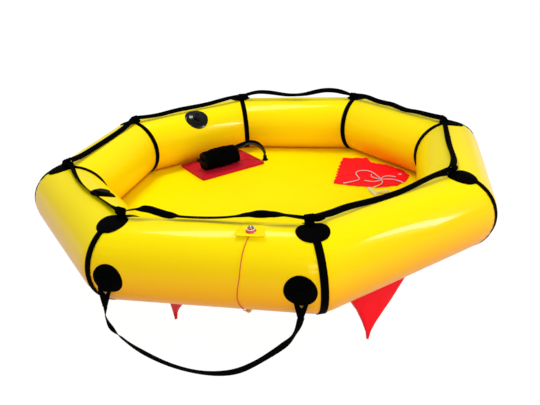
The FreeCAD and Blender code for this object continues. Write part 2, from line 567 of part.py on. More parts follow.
def hand_pump():
    """Barrel with ribs and end caps, plunger with a cross handle, hose and its adaptor."""
    height = FLOOR_TOP + VALISE_HEIGHT + PUMP_RADIUS + 2 * FIT
    start = V(PUMP_PLACE - PUMP_LENGTH / 2, -PUMP_REACH, height)
    along = V(1, 0, 0)
    shell = Part.makeCylinder(PUMP_RADIUS - 3, PUMP_LENGTH, start, along)
    for number in range(2):
        collar = start + along * (number * (PUMP_LENGTH - PUMP_CAP_LENGTH))
        shell = shell.fuse(Part.makeCylinder(PUMP_RADIUS, PUMP_CAP_LENGTH, collar, along))
    ribs = 5
    for number in range(ribs):
        rib_place = PUMP_CAP_LENGTH + (number + 1) * (PUMP_LENGTH - 2 * PUMP_CAP_LENGTH) / (ribs + 1)
        rib = start + along * rib_place
        shell = shell.fuse(Part.makeCylinder(PUMP_RADIUS, 5, rib - along * 2.5, along))
    bore_radius = PUMP_RADIUS - 3 - PUMP_WALL
    room = Part.makeCylinder(bore_radius, PUMP_LENGTH - 2 * PUMP_WALL, start + along * PUMP_WALL, along)
    rod_hole = Part.makeCylinder(PUMP_ROD_RADIUS + FIT, PUMP_WALL,
                                 start + along * (PUMP_LENGTH - PUMP_WALL), along)
    spigot = Part.makeCylinder(HOSE_DIAMETER / 2 + 2, SPIGOT_LENGTH,
                               start + V(-SPIGOT_LENGTH, 0, SPIGOT_RISE), along)
    save("pump_barrel", side_frame(shell.cut(room).cut(rod_hole).fuse(spigot), GEAR_SIDE))
    piston = Part.makeCylinder(bore_radius - FIT, PISTON_LENGTH, start + along * (PUMP_WALL + FIT), along)
    stem = rod(start + along * PUMP_WALL, start + along * (PUMP_LENGTH + PUMP_HANDLE_REACH), PUMP_ROD_RADIUS)
    stem = stem.cut(Part.makeBox(1, 2 * PUMP_LENGTH, 2 * PUMP_LENGTH,
                                 start + V(PUMP_WALL - 1 + FIT, -PUMP_LENGTH, -PUMP_LENGTH)))
    grip = start + along * (PUMP_LENGTH + PUMP_HANDLE_REACH)
    handle = Part.makeCylinder(PUMP_HANDLE_RADIUS, PUMP_HANDLE_LENGTH,
                               grip - V(0, PUMP_HANDLE_LENGTH / 2, 0), V(0, 1, 0))
    save("pump_plunger", side_frame(piston.fuse([stem, handle]), GEAR_SIDE))
    hose = bent_tube([(s, -reach, z) for s, reach, z in HOSE_ROUTE], HOSE_DIAMETER, "pump_hose")
    save("pump_hose", side_frame(hose, GEAR_SIDE))
    s, reach, top = HOSE_ROUTE[-1]
    foot = V(s, -reach, FLOOR_TOP + FIT)
    flange = Part.makeCylinder(ADAPTOR_RADIUS, 7, foot)
    flange = flange.makeFillet(2.5, flange.Edges[:1])
    nozzle = Part.makeCylinder(ADAPTOR_RADIUS * 0.66, top - foot.z, foot)
    save("hose_adaptor", side_frame(flange.fuse(nozzle), GEAR_SIDE))


def sea_anchor():
    """Folded cloth with a grommet, and its white cord with a toggle and a spare hank."""
    bottom = FLOOR_TOP + FIT
    cloth = plate(CLOTH_OUTLINE, ANCHOR_CLOTH_THICKNESS)
    cloth = cloth.cut(Part.makeCylinder(GROMMET_RADIUS, 3 * ANCHOR_CLOTH_THICKNESS, V(*GROMMET_PLACE, 0)))
    cloth.translate(V(0, 0, bottom))
    save("sea_anchor", cloth)
    level = bottom + ANCHOR_CLOTH_THICKNESS + ANCHOR_CORD_DIAMETER / 2 + FIT
    main = bent_tube([(x, y, level) for x, y in CORD_ROUTE], ANCHOR_CORD_DIAMETER, "sea_anchor_cord")
    tail = bent_tube([(x, y, level) for x, y in CORD_TAIL], ANCHOR_CORD_DIAMETER, "sea_anchor_cord tail")
    knot = Part.makeSphere(ANCHOR_CORD_DIAMETER, V(*KNOT_PLACE, level + ANCHOR_CORD_DIAMETER / 2))
    save("sea_anchor_cord", main.fuse([tail, knot]))
    pieces = []
    for (a, b), radius in ((TOGGLE_ENDS, 8.0), (HANK_ENDS, 6.0)):
        z = bottom + radius
        core = rod(V(*a, z), V(*b, z), radius)
        ends = [Part.makeSphere(radius, V(*p, z)) for p in (a, b)]
        pieces.append(core.fuse(ends))
    save("cord_toggle", pieces[0].fuse(pieces[1]))


def gas_cylinder(tube, skin):
    """Cylinder in a fabric cradle on the far side, with its operating head, inlet and firing lever."""
    reach = CYLINDER_RADIUS + CRADLE_WALL - 0.5
    axis, normal = on_tube(0, CYLINDER_ANGLE, reach)
    along = V(1, 0, 0)
    half = CYLINDER_LENGTH / 2
    body = Part.makeCylinder(CYLINDER_RADIUS, CYLINDER_LENGTH, axis - along * half, along)
    rounded = [e for e in body.Edges if e.Closed and len(e.Vertexes) == 1]
    body = body.makeFillet(CYLINDER_RADIUS * 0.55, rounded)
    neck = Part.makeCylinder(NECK_RADIUS, 16, axis + along * (half - 2), along)
    body = body.fuse(neck)
    save("gas_cylinder", side_frame(body.copy(), CYLINDER_SIDE))
    sleeve = Part.makeCylinder(CYLINDER_RADIUS + CRADLE_WALL, CRADLE_LENGTH,
                               axis - along * (CRADLE_LENGTH / 2), along)
    wrap = skin.common(Part.makeBox(CRADLE_LENGTH, 2 * TUBE_RADIUS, 2 * reach + CRADLE_BELOW + CRADLE_ABOVE,
                                    V(-CRADLE_LENGTH / 2, -APOTHEM - 2 * TUBE_RADIUS,
                                      axis.z - reach - CRADLE_BELOW)))
    cradle = sleeve.fuse(wrap).cut(tube)
    cradle = cradle.cut(Part.makeCylinder(CYLINDER_RADIUS, CYLINDER_LENGTH, axis - along * half, along))
    cradle = max(cradle.Solids, key=lambda s: s.Volume)
    save("cylinder_cradle", side_frame(cradle, CYLINDER_SIDE))
    head_start = axis + along * (half + 14)
    head = Part.makeCylinder(HEAD_RADIUS, HEAD_LENGTH, head_start, along)
    port = head_start + along * (HEAD_LENGTH / 2)
    inlet = rod(port, port - normal * (reach + 4), INLET_RADIUS)
    boss = head_start + along * (HEAD_LENGTH / 2) + normal * (HEAD_RADIUS + 4)
    stub = rod(port, boss, LEVER_WIDTH / 2)
    pin = rod(boss, boss + normal * (LEVER_THICKNESS + 2 * FIT + 1.5), LEVER_PIN_RADIUS)
    rim = rod(boss + normal * (LEVER_THICKNESS + 2 * FIT), boss + normal * (LEVER_THICKNESS + 2 * FIT + 1.5),
              LEVER_PIN_RADIUS + 1.5)
    head = head.fuse([inlet, stub, pin, rim]).cut(tube)
    save("cylinder_head", side_frame(head, CYLINDER_SIDE))
    lever = plate([(-LEVER_WIDTH / 2, -LEVER_WIDTH / 2), (LEVER_LENGTH, -LEVER_WIDTH / 2),
                   (LEVER_LENGTH, LEVER_WIDTH / 2), (-LEVER_WIDTH / 2, LEVER_WIDTH / 2)], LEVER_THICKNESS)
    lever = lever.cut(Part.makeCylinder(LEVER_PIN_RADIUS + PIN_FIT, LEVER_THICKNESS))
    lever = lever.cut(Part.makeCylinder(3.0, LEVER_THICKNESS, V(LEVER_LENGTH - 7, 0, 0)))
    _, lower = on_tube(0, CYLINDER_ANGLE - 90, 0)
    lever_turn = FreeCAD.Rotation(lower, V(0, 0, 0), normal, "ZXY")
    lever.Placement = FreeCAD.Placement(boss + normal * FIT, lever_turn)
    save("firing_lever", side_frame(lever, CYLINDER_SIDE))
    for vector, label in ((boss, "lever pivot"), (normal, "lever axis")):
        turned = Part.Vertex(vector)
        turned.rotate(V(0, 0, 0), UP, CYLINDER_SIDE * TURN)
        print(label, [round(value, 4) for value in turned.Point])


os.makedirs("parts", exist_ok=True)
zone = corner_zone(TUBE_RADIUS)
tube = whole_ring(zone)
skin = whole_ring(corner_zone(TUBE_RADIUS + PATCH_THICKNESS))
save("buoyancy_tube", tube)
floor_and_tape(tube, corners(zone))
lifeline()
boarding_strap(tube, skin)
ballast_bags(tube)
locator_light()
topping_up_valve(tube, skin)
relief_valve(tube, skin)
valise()
hand_pump()
sea_anchor()
gas_cylinder(tube, skin)
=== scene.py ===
"""Open inflatable liferaft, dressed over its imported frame: fabric tube and floor, webbing, bags and gear."""
import math

import bmesh
import bpy
from mathutils import Matrix, Vector, noise


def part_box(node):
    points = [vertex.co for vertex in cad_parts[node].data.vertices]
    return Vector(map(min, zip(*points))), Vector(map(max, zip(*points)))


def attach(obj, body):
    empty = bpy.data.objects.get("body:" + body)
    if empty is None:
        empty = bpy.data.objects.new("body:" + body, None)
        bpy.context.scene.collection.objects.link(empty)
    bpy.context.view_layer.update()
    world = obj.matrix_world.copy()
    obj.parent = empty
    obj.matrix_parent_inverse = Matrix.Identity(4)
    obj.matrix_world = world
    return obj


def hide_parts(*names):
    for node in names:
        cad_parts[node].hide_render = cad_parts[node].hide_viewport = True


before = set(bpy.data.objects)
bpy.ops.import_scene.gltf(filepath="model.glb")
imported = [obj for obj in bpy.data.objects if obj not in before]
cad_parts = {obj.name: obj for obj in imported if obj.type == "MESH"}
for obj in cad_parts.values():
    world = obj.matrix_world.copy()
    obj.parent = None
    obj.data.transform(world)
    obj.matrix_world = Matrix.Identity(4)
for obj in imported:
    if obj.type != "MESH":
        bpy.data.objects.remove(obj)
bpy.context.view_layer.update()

# Studio. A white sweep under and behind the raft, a wide overhead softbox a little behind it, a second
# one off the right side and a low fill from the front.
CAMERA_PLACE = Vector((0.5881, -2.3058, 1.0667))
CAMERA_TURN = math.radians(13.53)
CAMERA_RISE = math.radians(24.87)
CAMERA_ROLL = math.radians(-3.79)
SENSOR_WIDTH = 36
LENS = 38.1
LENS_SHIFT = (-0.01367, 0.01202)
SWEEP_SIZE = 60
SWEEP_HEIGHT = -0.295
SWEEP_WHITE = (0.80, 0.80, 0.80, 1)
SWEEP_GLOW = 1.10
SWEEP_LIT_SHARE = 0.12
FILL_STRENGTH = 0.44
# Each softbox: its name, place, aim, size and power.
SOFTBOXES = [
    ("overhead_box", (-0.9, 0.6, 3.2), (0, 0, 0.1), (1.8, 0.7), 56),
    ("side_box", (3.4, -0.5, 1.7), (0.4, -0.3, 0.1), (0.20, 1.6), 42),
    ("front_box", (1.1, -3.6, 2.2), (0, 0, 0), (2.0, 1.2), 56),
]


def add_camera():
    bpy.ops.object.camera_add()
    camera = bpy.context.object
    turn = Matrix.Rotation(CAMERA_TURN, 4, "Z") @ Matrix.Rotation(math.pi / 2 - CAMERA_RISE, 4, "X")
    camera.matrix_world = Matrix.Translation(CAMERA_PLACE) @ turn @ Matrix.Rotation(CAMERA_ROLL, 4, "Z")
    camera.data.sensor_width = SENSOR_WIDTH
    camera.data.lens = LENS
    camera.data.shift_x, camera.data.shift_y = LENS_SHIFT
    bpy.context.scene.camera = camera


def add_softbox(name, place, aim, size, power):
    bpy.ops.object.light_add(type="AREA", location=place)
    lamp = bpy.context.object
    lamp.name = name
    lamp.data.shape = "RECTANGLE"
    lamp.data.size, lamp.data.size_y = size
    lamp.data.energy = power
    lamp.rotation_euler = (Vector(aim) - Vector(place)).to_track_quat("-Z", "Y").to_euler()


def feed(tree, node, values):
    """Sets a shader node's inputs. Another node's output is linked, and anything else is a fixed value."""
    for socket, value in values.items():
        if isinstance(value, bpy.types.NodeSocket):
            tree.links.new(value, node.inputs[socket])
        else:
            node.inputs[socket].default_value = value


def add_node(tree, kind, values=None, **settings):
    """A new shader node of that kind; its settings come first, because they can change its inputs."""
    node = tree.nodes.new("ShaderNode" + kind)
    for setting, value in settings.items():
        setattr(node, setting, value)
    feed(tree, node, values or {})
    return node


def add_math(tree, operation, *values):
    return add_node(tree, "Math", dict(enumerate(values)), operation=operation).outputs[0]


def white_to_the_eye(tree):
    """Seen straight or in a reflection, the sweep is near white; the rest of it takes the raft's shadow."""
    tree.nodes.clear()
    path = add_node(tree, "LightPath").outputs
    seen = add_math(tree, "MAXIMUM", path["Is Camera Ray"], path["Is Glossy Ray"])
    seen = add_math(tree, "MAXIMUM", seen, path["Is Transmission Ray"])
    share = add_math(tree, "MULTIPLY", seen, 1 - SWEEP_LIT_SHARE)
    plain = add_node(tree, "BsdfDiffuse", {"Color": SWEEP_WHITE})
    glow = add_node(tree, "Emission", {"Strength": SWEEP_GLOW})
    mix = add_node(tree, "MixShader", {0: share, 1: plain.outputs[0], 2: glow.outputs[0]})
    add_node(tree, "OutputMaterial", {"Surface": mix.outputs[0]})


def add_sweep():
    bpy.ops.mesh.primitive_plane_add(size=SWEEP_SIZE, location=(0, 0, SWEEP_HEIGHT))
    sweep = bpy.context.object
    sweep.name = "sweep"
    paper = bpy.data.materials.new("sweep_paper")
    paper.use_nodes = True
    white_to_the_eye(paper.node_tree)
    sweep.data.materials.append(paper)


def light_world():
    """The surroundings are white to the camera, and light the raft with a weaker, even fill."""
    world = bpy.data.worlds.new("studio")
    bpy.context.scene.world = world
    world.use_nodes = True
    tree = world.node_tree
    tree.nodes.clear()
    path = add_node(tree, "LightPath").outputs
    fill = add_node(tree, "Background", {"Strength": FILL_STRENGTH})
    white = add_node(tree, "Background", {"Color": (1, 1, 1, 1), "Strength": 1.0})
    mix = add_node(tree, "MixShader", {0: path["Is Camera Ray"], 1: fill.outputs[0], 2: white.outputs[0]})
    add_node(tree, "OutputWorld", {"Surface": mix.outputs[0]})


add_camera()
add_sweep()
light_world()
for softbox in SOFTBOXES:
    add_softbox(*softbox)
bpy.context.scene.view_settings.view_transform = "Standard"

# Buoyancy tube. Eight straight runs of coated fabric, cut and welded at mitres into an octagon, blown
# up hard: the fabric gathers in small puckers along each mitre and is smooth between them.
SIDES = 8
CORNER_REACH = 0.850
TUBE_RADIUS = 0.140
TURN = 2 * math.pi / SIDES
APOTHEM = CORNER_REACH * math.cos(TURN / 2)
HALF_SIDE = CORNER_REACH * math.sin(TURN / 2)
FAN_SHARE = 0.12
PUCKER_DEPTH = 0.0016
PUCKER_REACH = 0.035
PUCKERS = 34
TUBE_YELLOW = (1.0, 0.83, 0.0)
TUBE_SHADE = (1.0, 0.78, 0.0)
# Painted shade: the orange that the tube's lower outer side is painted, fading in by height.
TUBE_PAINTED_SHADE_ORANGE = (1.0, 0.40, 0.008)
LOW_HEIGHTS = (0.30, 0.05)    # where the orange begins, and where it is full
PAINTED_SHADE_REACHES = (0.66, 0.80)    # from the raft's middle: the orange is weaker on the inner side
PAINTED_SHADE_INNER_SHARE = 0.45
LOW_GLOSS = 0.02
WELD_GAP = 0.00002
LYING = Matrix.Rotation(math.pi / 2, 4, "Y")


def side_turn(side):
    return Matrix.Rotation(side * TURN, 4, "Z")


def add_noise(tree, place, scale, detail=2.0):
    return add_node(tree, "TexNoise", {"Vector": place, "Scale": scale, "Detail": detail}).outputs["Fac"]


def add_range(tree, value, given=(0, 1), made=(0, 1), **settings):
    """Turns a value between the given limits into one between the made limits."""
    limits = {"From Min": given[0], "From Max": given[1], "To Min": made[0], "To Max": made[1]}
    return add_node(tree, "MapRange", {"Value": value, **limits}, **settings).outputs[0]


def add_mix(tree, share, first, second):
    mix = add_node(tree, "Mix", {"Factor": share, "A": first, "B": second}, data_type="RGBA")
    return mix.outputs["Result"]


def add_relief(tree, height, strength, distance):
    return add_node(tree, "Bump", {"Height": height, "Strength": strength, "Distance": distance}).outputs[0]


def own_place(tree):
    return add_node(tree, "TexCoord").outputs["Object"]


def node_group(name, inputs, outputs):
    """A shader node group with named sockets; returns its tree with its input and output nodes."""
    tree = bpy.data.node_groups.new(name, "ShaderNodeTree")
    for socket, kind, value in inputs:
        made = tree.interface.new_socket(socket, in_out="INPUT", socket_type="NodeSocket" + kind)
        if value is not None:
            made.default_value = value
    for socket, kind in outputs:
        tree.interface.new_socket(socket, in_out="OUTPUT", socket_type="NodeSocket" + kind)
    return tree, tree.nodes.new("NodeGroupInput").outputs, tree.nodes.new("NodeGroupOutput")


def coated_cloth_group():
    """Smooth plastic-coated cloth: faint cloudy colour, a trace of weave, soft creases and fine scuffs."""
    tree, given, made = node_group(
        "coated_cloth",
        [("Vector", "Vector", None), ("Color", "Color", (1, 1, 1, 1)),
         ("Shade Color", "Color", (1, 1, 1, 1)), ("Roughness", "Float", 0.35)],
        [("Color", "Color"), ("Roughness", "Float"), ("Height", "Float")])

    def cloud(scale, detail, stretch=(1, 1, 1)):
        mapping = add_node(tree, "Mapping", {"Vector": given["Vector"], "Scale": stretch})
        return add_noise(tree, mapping.outputs[0], scale, detail)

    clouds = add_range(tree, cloud(2.6, 3), (0.35, 0.7), (0.0, 0.28))
    scuffs = add_range(tree, cloud(60, 5, (1, 1, 0.3)), (0.55, 0.75), (0.0, 0.12))
    weave = add_math(tree, "MULTIPLY", cloud(900, 1), 0.04)
    creases = cloud(9, 4, (1, 1, 2.5))
    feed(tree, made, {
        "Color": add_mix(tree, clouds, given["Color"], given["Shade Color"]),
        "Roughness": add_math(tree, "ADD", given["Roughness"], scuffs),
        "Height": add_math(tree, "ADD", weave, creases)})
    return tree


COATED_CLOTH = coated_cloth_group()


def new_material(name):
    """A new material, with its node tree and its shader."""
    material = bpy.data.materials.new(name)
    material.use_nodes = True
    return material, material.node_tree, material.node_tree.nodes["Principled BSDF"]


def coated_cloth(name, color, shade, roughness, bump=0.12, coat=0.0):
    material, tree, shader = new_material(name)
    cloth = add_node(tree, "Group", {"Vector": own_place(tree), "Color": (*color, 1),
                                     "Shade Color": (*shade, 1), "Roughness": roughness},
                     node_tree=COATED_CLOTH).outputs
    feed(tree, shader, {
        "Base Color": cloth["Color"], "Roughness": cloth["Roughness"],
        "Normal": add_relief(tree, cloth["Height"], bump, 0.004), "Specular IOR Level": 0.08,
        "Specular Tint": (*color, 1), "Coat Weight": coat, "Coat Roughness": 0.09})
    return material


def painted_shade_below(material):
    """Towards its underside the fabric is painted more orange, as painted shade, and is less glossy."""
    tree = material.node_tree
    nodes = {node.type: node for node in tree.nodes}
    shader, cloth, place = nodes["BSDF_PRINCIPLED"], nodes["GROUP"], nodes["TEX_COORD"].outputs["Object"]
    height = add_node(tree, "SeparateXYZ", {0: place}).outputs["Z"]
    low = add_range(tree, height, LOW_HEIGHTS, interpolation_type="SMOOTHSTEP")
    level = add_node(tree, "VectorMath", {0: place, 1: (1, 1, 0)}, operation="MULTIPLY").outputs[0]
    reach = add_node(tree, "VectorMath", {0: level}, operation="LENGTH").outputs["Value"]
    outer = add_range(tree, reach, PAINTED_SHADE_REACHES, (PAINTED_SHADE_INNER_SHARE, 1))
    gloss = (LOW_GLOSS, shader.inputs["Coat Weight"].default_value)
    # Painted shade: the base colour turns orange low down, less so on the inner side.
    feed(tree, shader, {
        "Base Color": add_mix(tree, add_math(tree, "MULTIPLY", low, outer), cloth.outputs["Color"],
                              (*TUBE_PAINTED_SHADE_ORANGE, 1)),
        "Coat Weight": add_range(tree, height, (LOW_HEIGHTS[1], sum(LOW_HEIGHTS) / 2), gloss)})
    return material


def finish_piece(piece, name, material, slot, *stands_for):
    """Names the piece, gives it its one material and smooth shading, and fixes it to the raft. Its slot
    argument is not used.
    """
    piece.name = name
    piece.data.name = name
    piece.data.materials.clear()
    piece.data.materials.append(material)
    if piece.type == "MESH":
        piece.data.shade_smooth()
    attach(piece, "raft")
    if stands_for:
        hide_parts(*stands_for)
    return piece


def cut_long_edges(cuts):
    """Cuts the long edges of the active piece, a plain starting shape 2 across, into even parts."""
    piece = bpy.context.object
    bpy.ops.object.mode_set(mode="EDIT")
    bpy.ops.mesh.select_all(action="DESELECT")
    mesh = bmesh.from_edit_mesh(piece.data)
    for edge in mesh.edges:
        edge.select = edge.calc_length() > 0.5
    bmesh.update_edit_mesh(piece.data)
    bpy.ops.mesh.subdivide(number_cuts=cuts)
    bpy.ops.object.mode_set(mode="OBJECT")
    return piece


def fine_cylinder(around, cuts):
    bpy.ops.mesh.primitive_cylinder_add(vertices=around, radius=1, depth=2, end_fill_type="NOTHING")
    return cut_long_edges(cuts)


def even_normals(weld=0.0):
    """Turns the active piece's faces outward, after welding points that are closer than a distance."""
    bpy.ops.object.mode_set(mode="EDIT")
    bpy.ops.mesh.select_all(action="SELECT")
    if weld:
        bpy.ops.mesh.remove_doubles(threshold=weld)
    bpy.ops.mesh.normals_make_consistent(inside=False)
    bpy.ops.object.mode_set(mode="OBJECT")


def tube_run():
    """One side of the tube, from the middle of one corner to the middle of the next."""
    run = fine_cylinder(96, 75)
    run.data.transform(LYING)
    for vertex in run.data.vertices:
        x, y, z = vertex.co
        angle = math.atan2(z, -y)
        outward = TUBE_RADIUS * math.cos(angle)
        end = HALF_SIDE + min(outward, 0) * math.tan(TURN / 2)
        straight = min(abs(x) / (1 - FAN_SHARE), 1)
        pucker = PUCKER_DEPTH * math.exp(-end * (1 - straight) / PUCKER_REACH)
        pucker *= 0.5 + 0.5 * math.cos(PUCKERS * angle + 2.2 * math.sin(3 * angle))
        radius = TUBE_RADIUS - pucker
        fan = max(abs(x) - (1 - FAN_SHARE), 0) / FAN_SHARE * TURN / 2 if outward > 0 else 0
        reach = radius * math.cos(angle)
        vertex.co = (math.copysign(end * straight + reach * math.sin(fan), x),
                     -APOTHEM - reach * math.cos(fan), TUBE_RADIUS + radius * math.sin(angle))
    return run


def moved_copy(piece, move):
    copy = piece.copy()
    copy.data = piece.data.copy()
    copy.data.transform(move)
    bpy.context.collection.objects.link(copy)
    return copy


def ring_of(piece):
    """Copies a piece made on the boarding side to all eight sides and welds the copies together."""
    copies = [moved_copy(piece, side_turn(side)) for side in range(1, SIDES)]
    bpy.ops.object.select_all(action="DESELECT")
    for copy in [piece, *copies]:
        copy.select_set(True)
    bpy.context.view_layer.objects.active = piece
    bpy.ops.object.join()
    even_normals(WELD_GAP)
    return piece


# The tube's cloth, with painted shade that makes it more orange towards its underside.
tube_cloth = painted_shade_below(
    coated_cloth("yellow_tube_cloth", TUBE_YELLOW, TUBE_SHADE, 0.33, bump=0.08, coat=0.20))
finish_piece(ring_of(tube_run()), "inflated_tube", tube_cloth, "tube_fabric", "buoyancy_tube")

# Floor. One sheet of the same cloth, thinner, welded under the tube and stretched by it, with short
# slack puckers round its edge. A tape laid by hand covers the weld; its darker orange is partly
# painted shade where the floor meets the tube.
FLOOR_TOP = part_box("floor_sheet")[1].z
FLOOR_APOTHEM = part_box("floor_sheet")[1].x
FLOOR_THICKNESS = 0.0015
FLOOR_EDGE_SHARE = 0.20
FLOOR_SAG = 0.0014
FLOOR_PUCKER = 0.0030
TAPE_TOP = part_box("floor_seam_tape")[1].z
TAPE_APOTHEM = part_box("floor_seam_tape")[1].x
TAPE_WIDTH = 0.024
TAPE_THICKNESS = 0.0008


def octagon_reach(direction, apothem):
    """How far an octagon of that apothem reaches in a direction given by its angle."""
    nearest = round((direction + math.pi / 2) / TURN) * TURN - math.pi / 2
    return apothem / math.cos(direction - nearest)


def fine_disc(around, cuts):
    bpy.ops.mesh.primitive_circle_add(vertices=around, radius=1, fill_type="TRIFAN")
    return cut_long_edges(cuts)


def thickened(piece, thickness, offset=-1):
    bpy.context.view_layer.objects.active = piece
    solidify = piece.modifiers.new("thickness", "SOLIDIFY")
    solidify.thickness = thickness
    solidify.offset = offset
    bpy.ops.object.modifier_apply(modifier="thickness")
    return piece


def add_floor():
    floor = fine_disc(240, 60)
    for vertex in floor.data.vertices:
        share = vertex.co.length
        direction = math.atan2(vertex.co.y, vertex.co.x)
        reach = share * octagon_reach(direction, FLOOR_APOTHEM)
        edge = max(0, (share - 1 + FLOOR_EDGE_SHARE) / FLOOR_EDGE_SHARE)
        spot = Vector((reach * math.cos(direction), reach * math.sin(direction), 0))
        sag = FLOOR_SAG * (0.5 + noise.noise(spot * 5))
        pucker = FLOOR_PUCKER * edge * (1 - edge) * 4 * max(0, noise.noise(spot * 22) + 0.25)
        vertex.co = (spot.x, spot.y, FLOOR_TOP - sag * (1 - edge) - pucker)
    return thickened(floor, FLOOR_THICKNESS)


floor_cloth = coated_cloth("yellow_floor_cloth", (1.0, 0.84, 0.0), (1.0, 0.74, 0.0), 0.45, bump=0.16)
floor = finish_piece(add_floor(), "floor_cloth", floor_cloth, "floor_fabric", "floor_sheet")


def add_seam_tape():
    """A flat ring over the floor's weld, a little uneven as hand-laid tape is."""
    tape = fine_cylinder(320, 3)
    for vertex in tape.data.vertices:
        direction = math.atan2(vertex.co.y, vertex.co.x)
        ray = Vector((math.cos(direction), math.sin(direction), 0))
        width = (1 - vertex.co.z) / 2 * (TAPE_WIDTH + 0.0008 * noise.noise(ray * 9))
        spot = ray * octagon_reach(direction, TAPE_APOTHEM - width)
        vertex.co = (spot.x, spot.y, TAPE_TOP + 0.0002 * noise.noise(spot * 40))
    return thickened(tape, TAPE_THICKNESS, 1 if tape.data.polygons[0].normal.z < 0 else -1)


# Painted shade: a real seam tape, whose darker orange also paints the shade where the floor meets the tube.
tape_and_painted_shade = coated_cloth("seam_tape_and_painted_shade", (0.93, 0.50, 0.004), (0.88, 0.44, 0.004), 0.40)
finish_piece(add_seam_tape(), "seam_tape", tape_and_painted_shade, "tube_fabric", "floor_seam_tape")

# Corner hoops. Black woven webbing, 25 mm wide with a stitched line by each edge, glued round the tube
# over each mitre. On the inner side it is creased where two sides of the tube meet.
WEBBING_WIDTH = 0.025
WEBBING_THICKNESS = 0.002
WEBBING_BLACK = (0.0003, 0.0003, 0.0004)
THREAD_BLACK = (0.0022, 0.0022, 0.0025)
SEAM_PLACE = 0.39    # off the webbing's middle, as a share of its width
STITCH_LENGTH = 0.0042
HOOP_STEPS = 120
HOOP_CREASE = 0.25 * TUBE_RADIUS


def woven_group():
    """Needle-woven webbing: cross ribs, lengthwise cords and a stitched line by each edge. X runs along
    the strip in metres and Y across it from 0 to 1."""
    tree, given, made = node_group(
        "woven_strip",
        [("Vector", "Vector", None), ("Color", "Color", (0.01, 0.01, 0.01, 1)),
         ("Thread Color", "Color", (0.05, 0.05, 0.05, 1)), ("Ribs", "Float", 620.0),
         ("Cords", "Float", 11.0)],
        [("Color", "Color"), ("Height", "Float")])

    def calc(operation, *values):
        return add_math(tree, operation, *values)

    def wave(place, count):
        return calc("SINE", calc("MULTIPLY", calc("MULTIPLY", place, count), 2 * math.pi))

    place = add_node(tree, "SeparateXYZ", {0: given["Vector"]}).outputs
    ribs = calc("MULTIPLY_ADD", wave(place["X"], given["Ribs"]), 0.5, 0.5)
    cords = wave(place["Y"], given["Cords"])
    ridges = calc("ADD", calc("MULTIPLY", ribs, 0.6), calc("MULTIPLY", cords, 0.25))
    off_middle = calc("ABSOLUTE", calc("SUBTRACT", place["Y"], 0.5))
    on_seam = calc("LESS_THAN", calc("ABSOLUTE", calc("SUBTRACT", off_middle, SEAM_PLACE)), 0.028)
    turns = calc("MULTIPLY", place["X"], 2 * math.pi / STITCH_LENGTH)
    stitch = calc("MULTIPLY", on_seam, calc("GREATER_THAN", calc("SINE", turns), -0.25))
    fuzz = calc("MULTIPLY", add_noise(tree, given["Vector"], 90), 0.35)
    light = calc("MULTIPLY", calc("ADD", calc("MULTIPLY", ribs, 0.35), fuzz), 0.8)
    feed(tree, made, {
        "Color": add_mix(tree, calc("MAXIMUM", light, stitch), given["Color"], given["Thread Color"]),
        "Height": calc("ADD", ridges, calc("MULTIPLY", stitch, 0.8))})
    return tree


WOVEN = woven_group()


def webbing_cloth(name, color, thread):
    """Webbing. It reads the strip map of the piece."""
    material, tree, shader = new_material(name)
    strip = add_node(tree, "UVMap", uv_map="strip")
    woven = add_node(tree, "Group", {"Vector": strip.outputs[0], "Color": (*color, 1),
                                     "Thread Color": (*thread, 1)}, node_tree=WOVEN).outputs
    feed(tree, shader, {
        "Base Color": woven["Color"], "Roughness": 0.75, "Specular IOR Level": 0.012,
        "Normal": add_relief(tree, woven["Height"], 0.5, 0.0006)})
    return material


def add_object(name, data):
    piece = bpy.data.objects.new(name, data)
    bpy.context.collection.objects.link(piece)
    return piece


def strip_mesh(name, stations, width, thickness, closed=False):
    """A webbing strip through stations, each its middle, the way across and the face's normal. The section
    is a thin rounded rectangle; the strip map runs along it in metres and across it from 0 to 1."""
    mesh = bmesh.new()
    strip_map = mesh.loops.layers.uv.new("strip")
    half, bevel = width / 2, thickness / 4
    under = [(-half, -0.2), (-half + bevel, -0.5), (-half / 2, -0.5), (0, -0.5), (half / 2, -0.5),
             (half - bevel, -0.5), (half, -0.2)]
    section = under + [(u, -v) for u, v in reversed(under)]
    shares = [u / width + 0.5 for u, v in section]
    rings, run = [], 0.0
    for number, (middle, across, normal) in enumerate(stations):
        if number:
            run += (middle - stations[number - 1][0]).length
        ring = [mesh.verts.new(middle + across * u + normal * (v * thickness)) for u, v in section]
        rings.append((ring, run))
    if closed:
        rings.append((rings[0][0], run + (stations[0][0] - stations[-1][0]).length))
    for (first, start), (second, end) in zip(rings, rings[1:]):
        for i, share in enumerate(shares):
            j = (i + 1) % len(shares)
            corners = ((first[i], start, share), (second[i], end, share),
                       (second[j], end, shares[j]), (first[j], start, shares[j]))
            face = mesh.faces.new([corner[0] for corner in corners])
            for loop, corner in zip(face.loops, corners):
                loop[strip_map].uv = corner[1:]
    if not closed:
        for ring in (rings[0][0], rings[-1][0]):
            for loop in mesh.faces.new(ring).loops:
                loop[strip_map].uv = (0, 0.5)
    bmesh.ops.recalc_face_normals(mesh, faces=mesh.faces)
    data = bpy.data.meshes.new(name)
    mesh.to_mesh(data)
    mesh.free()
    return add_object(name, data)


def way_out(angle):
    """The way out from the tube's middle on the -Y side, at an angle up from level."""
    return Vector((0, -math.cos(angle), math.sin(angle)))


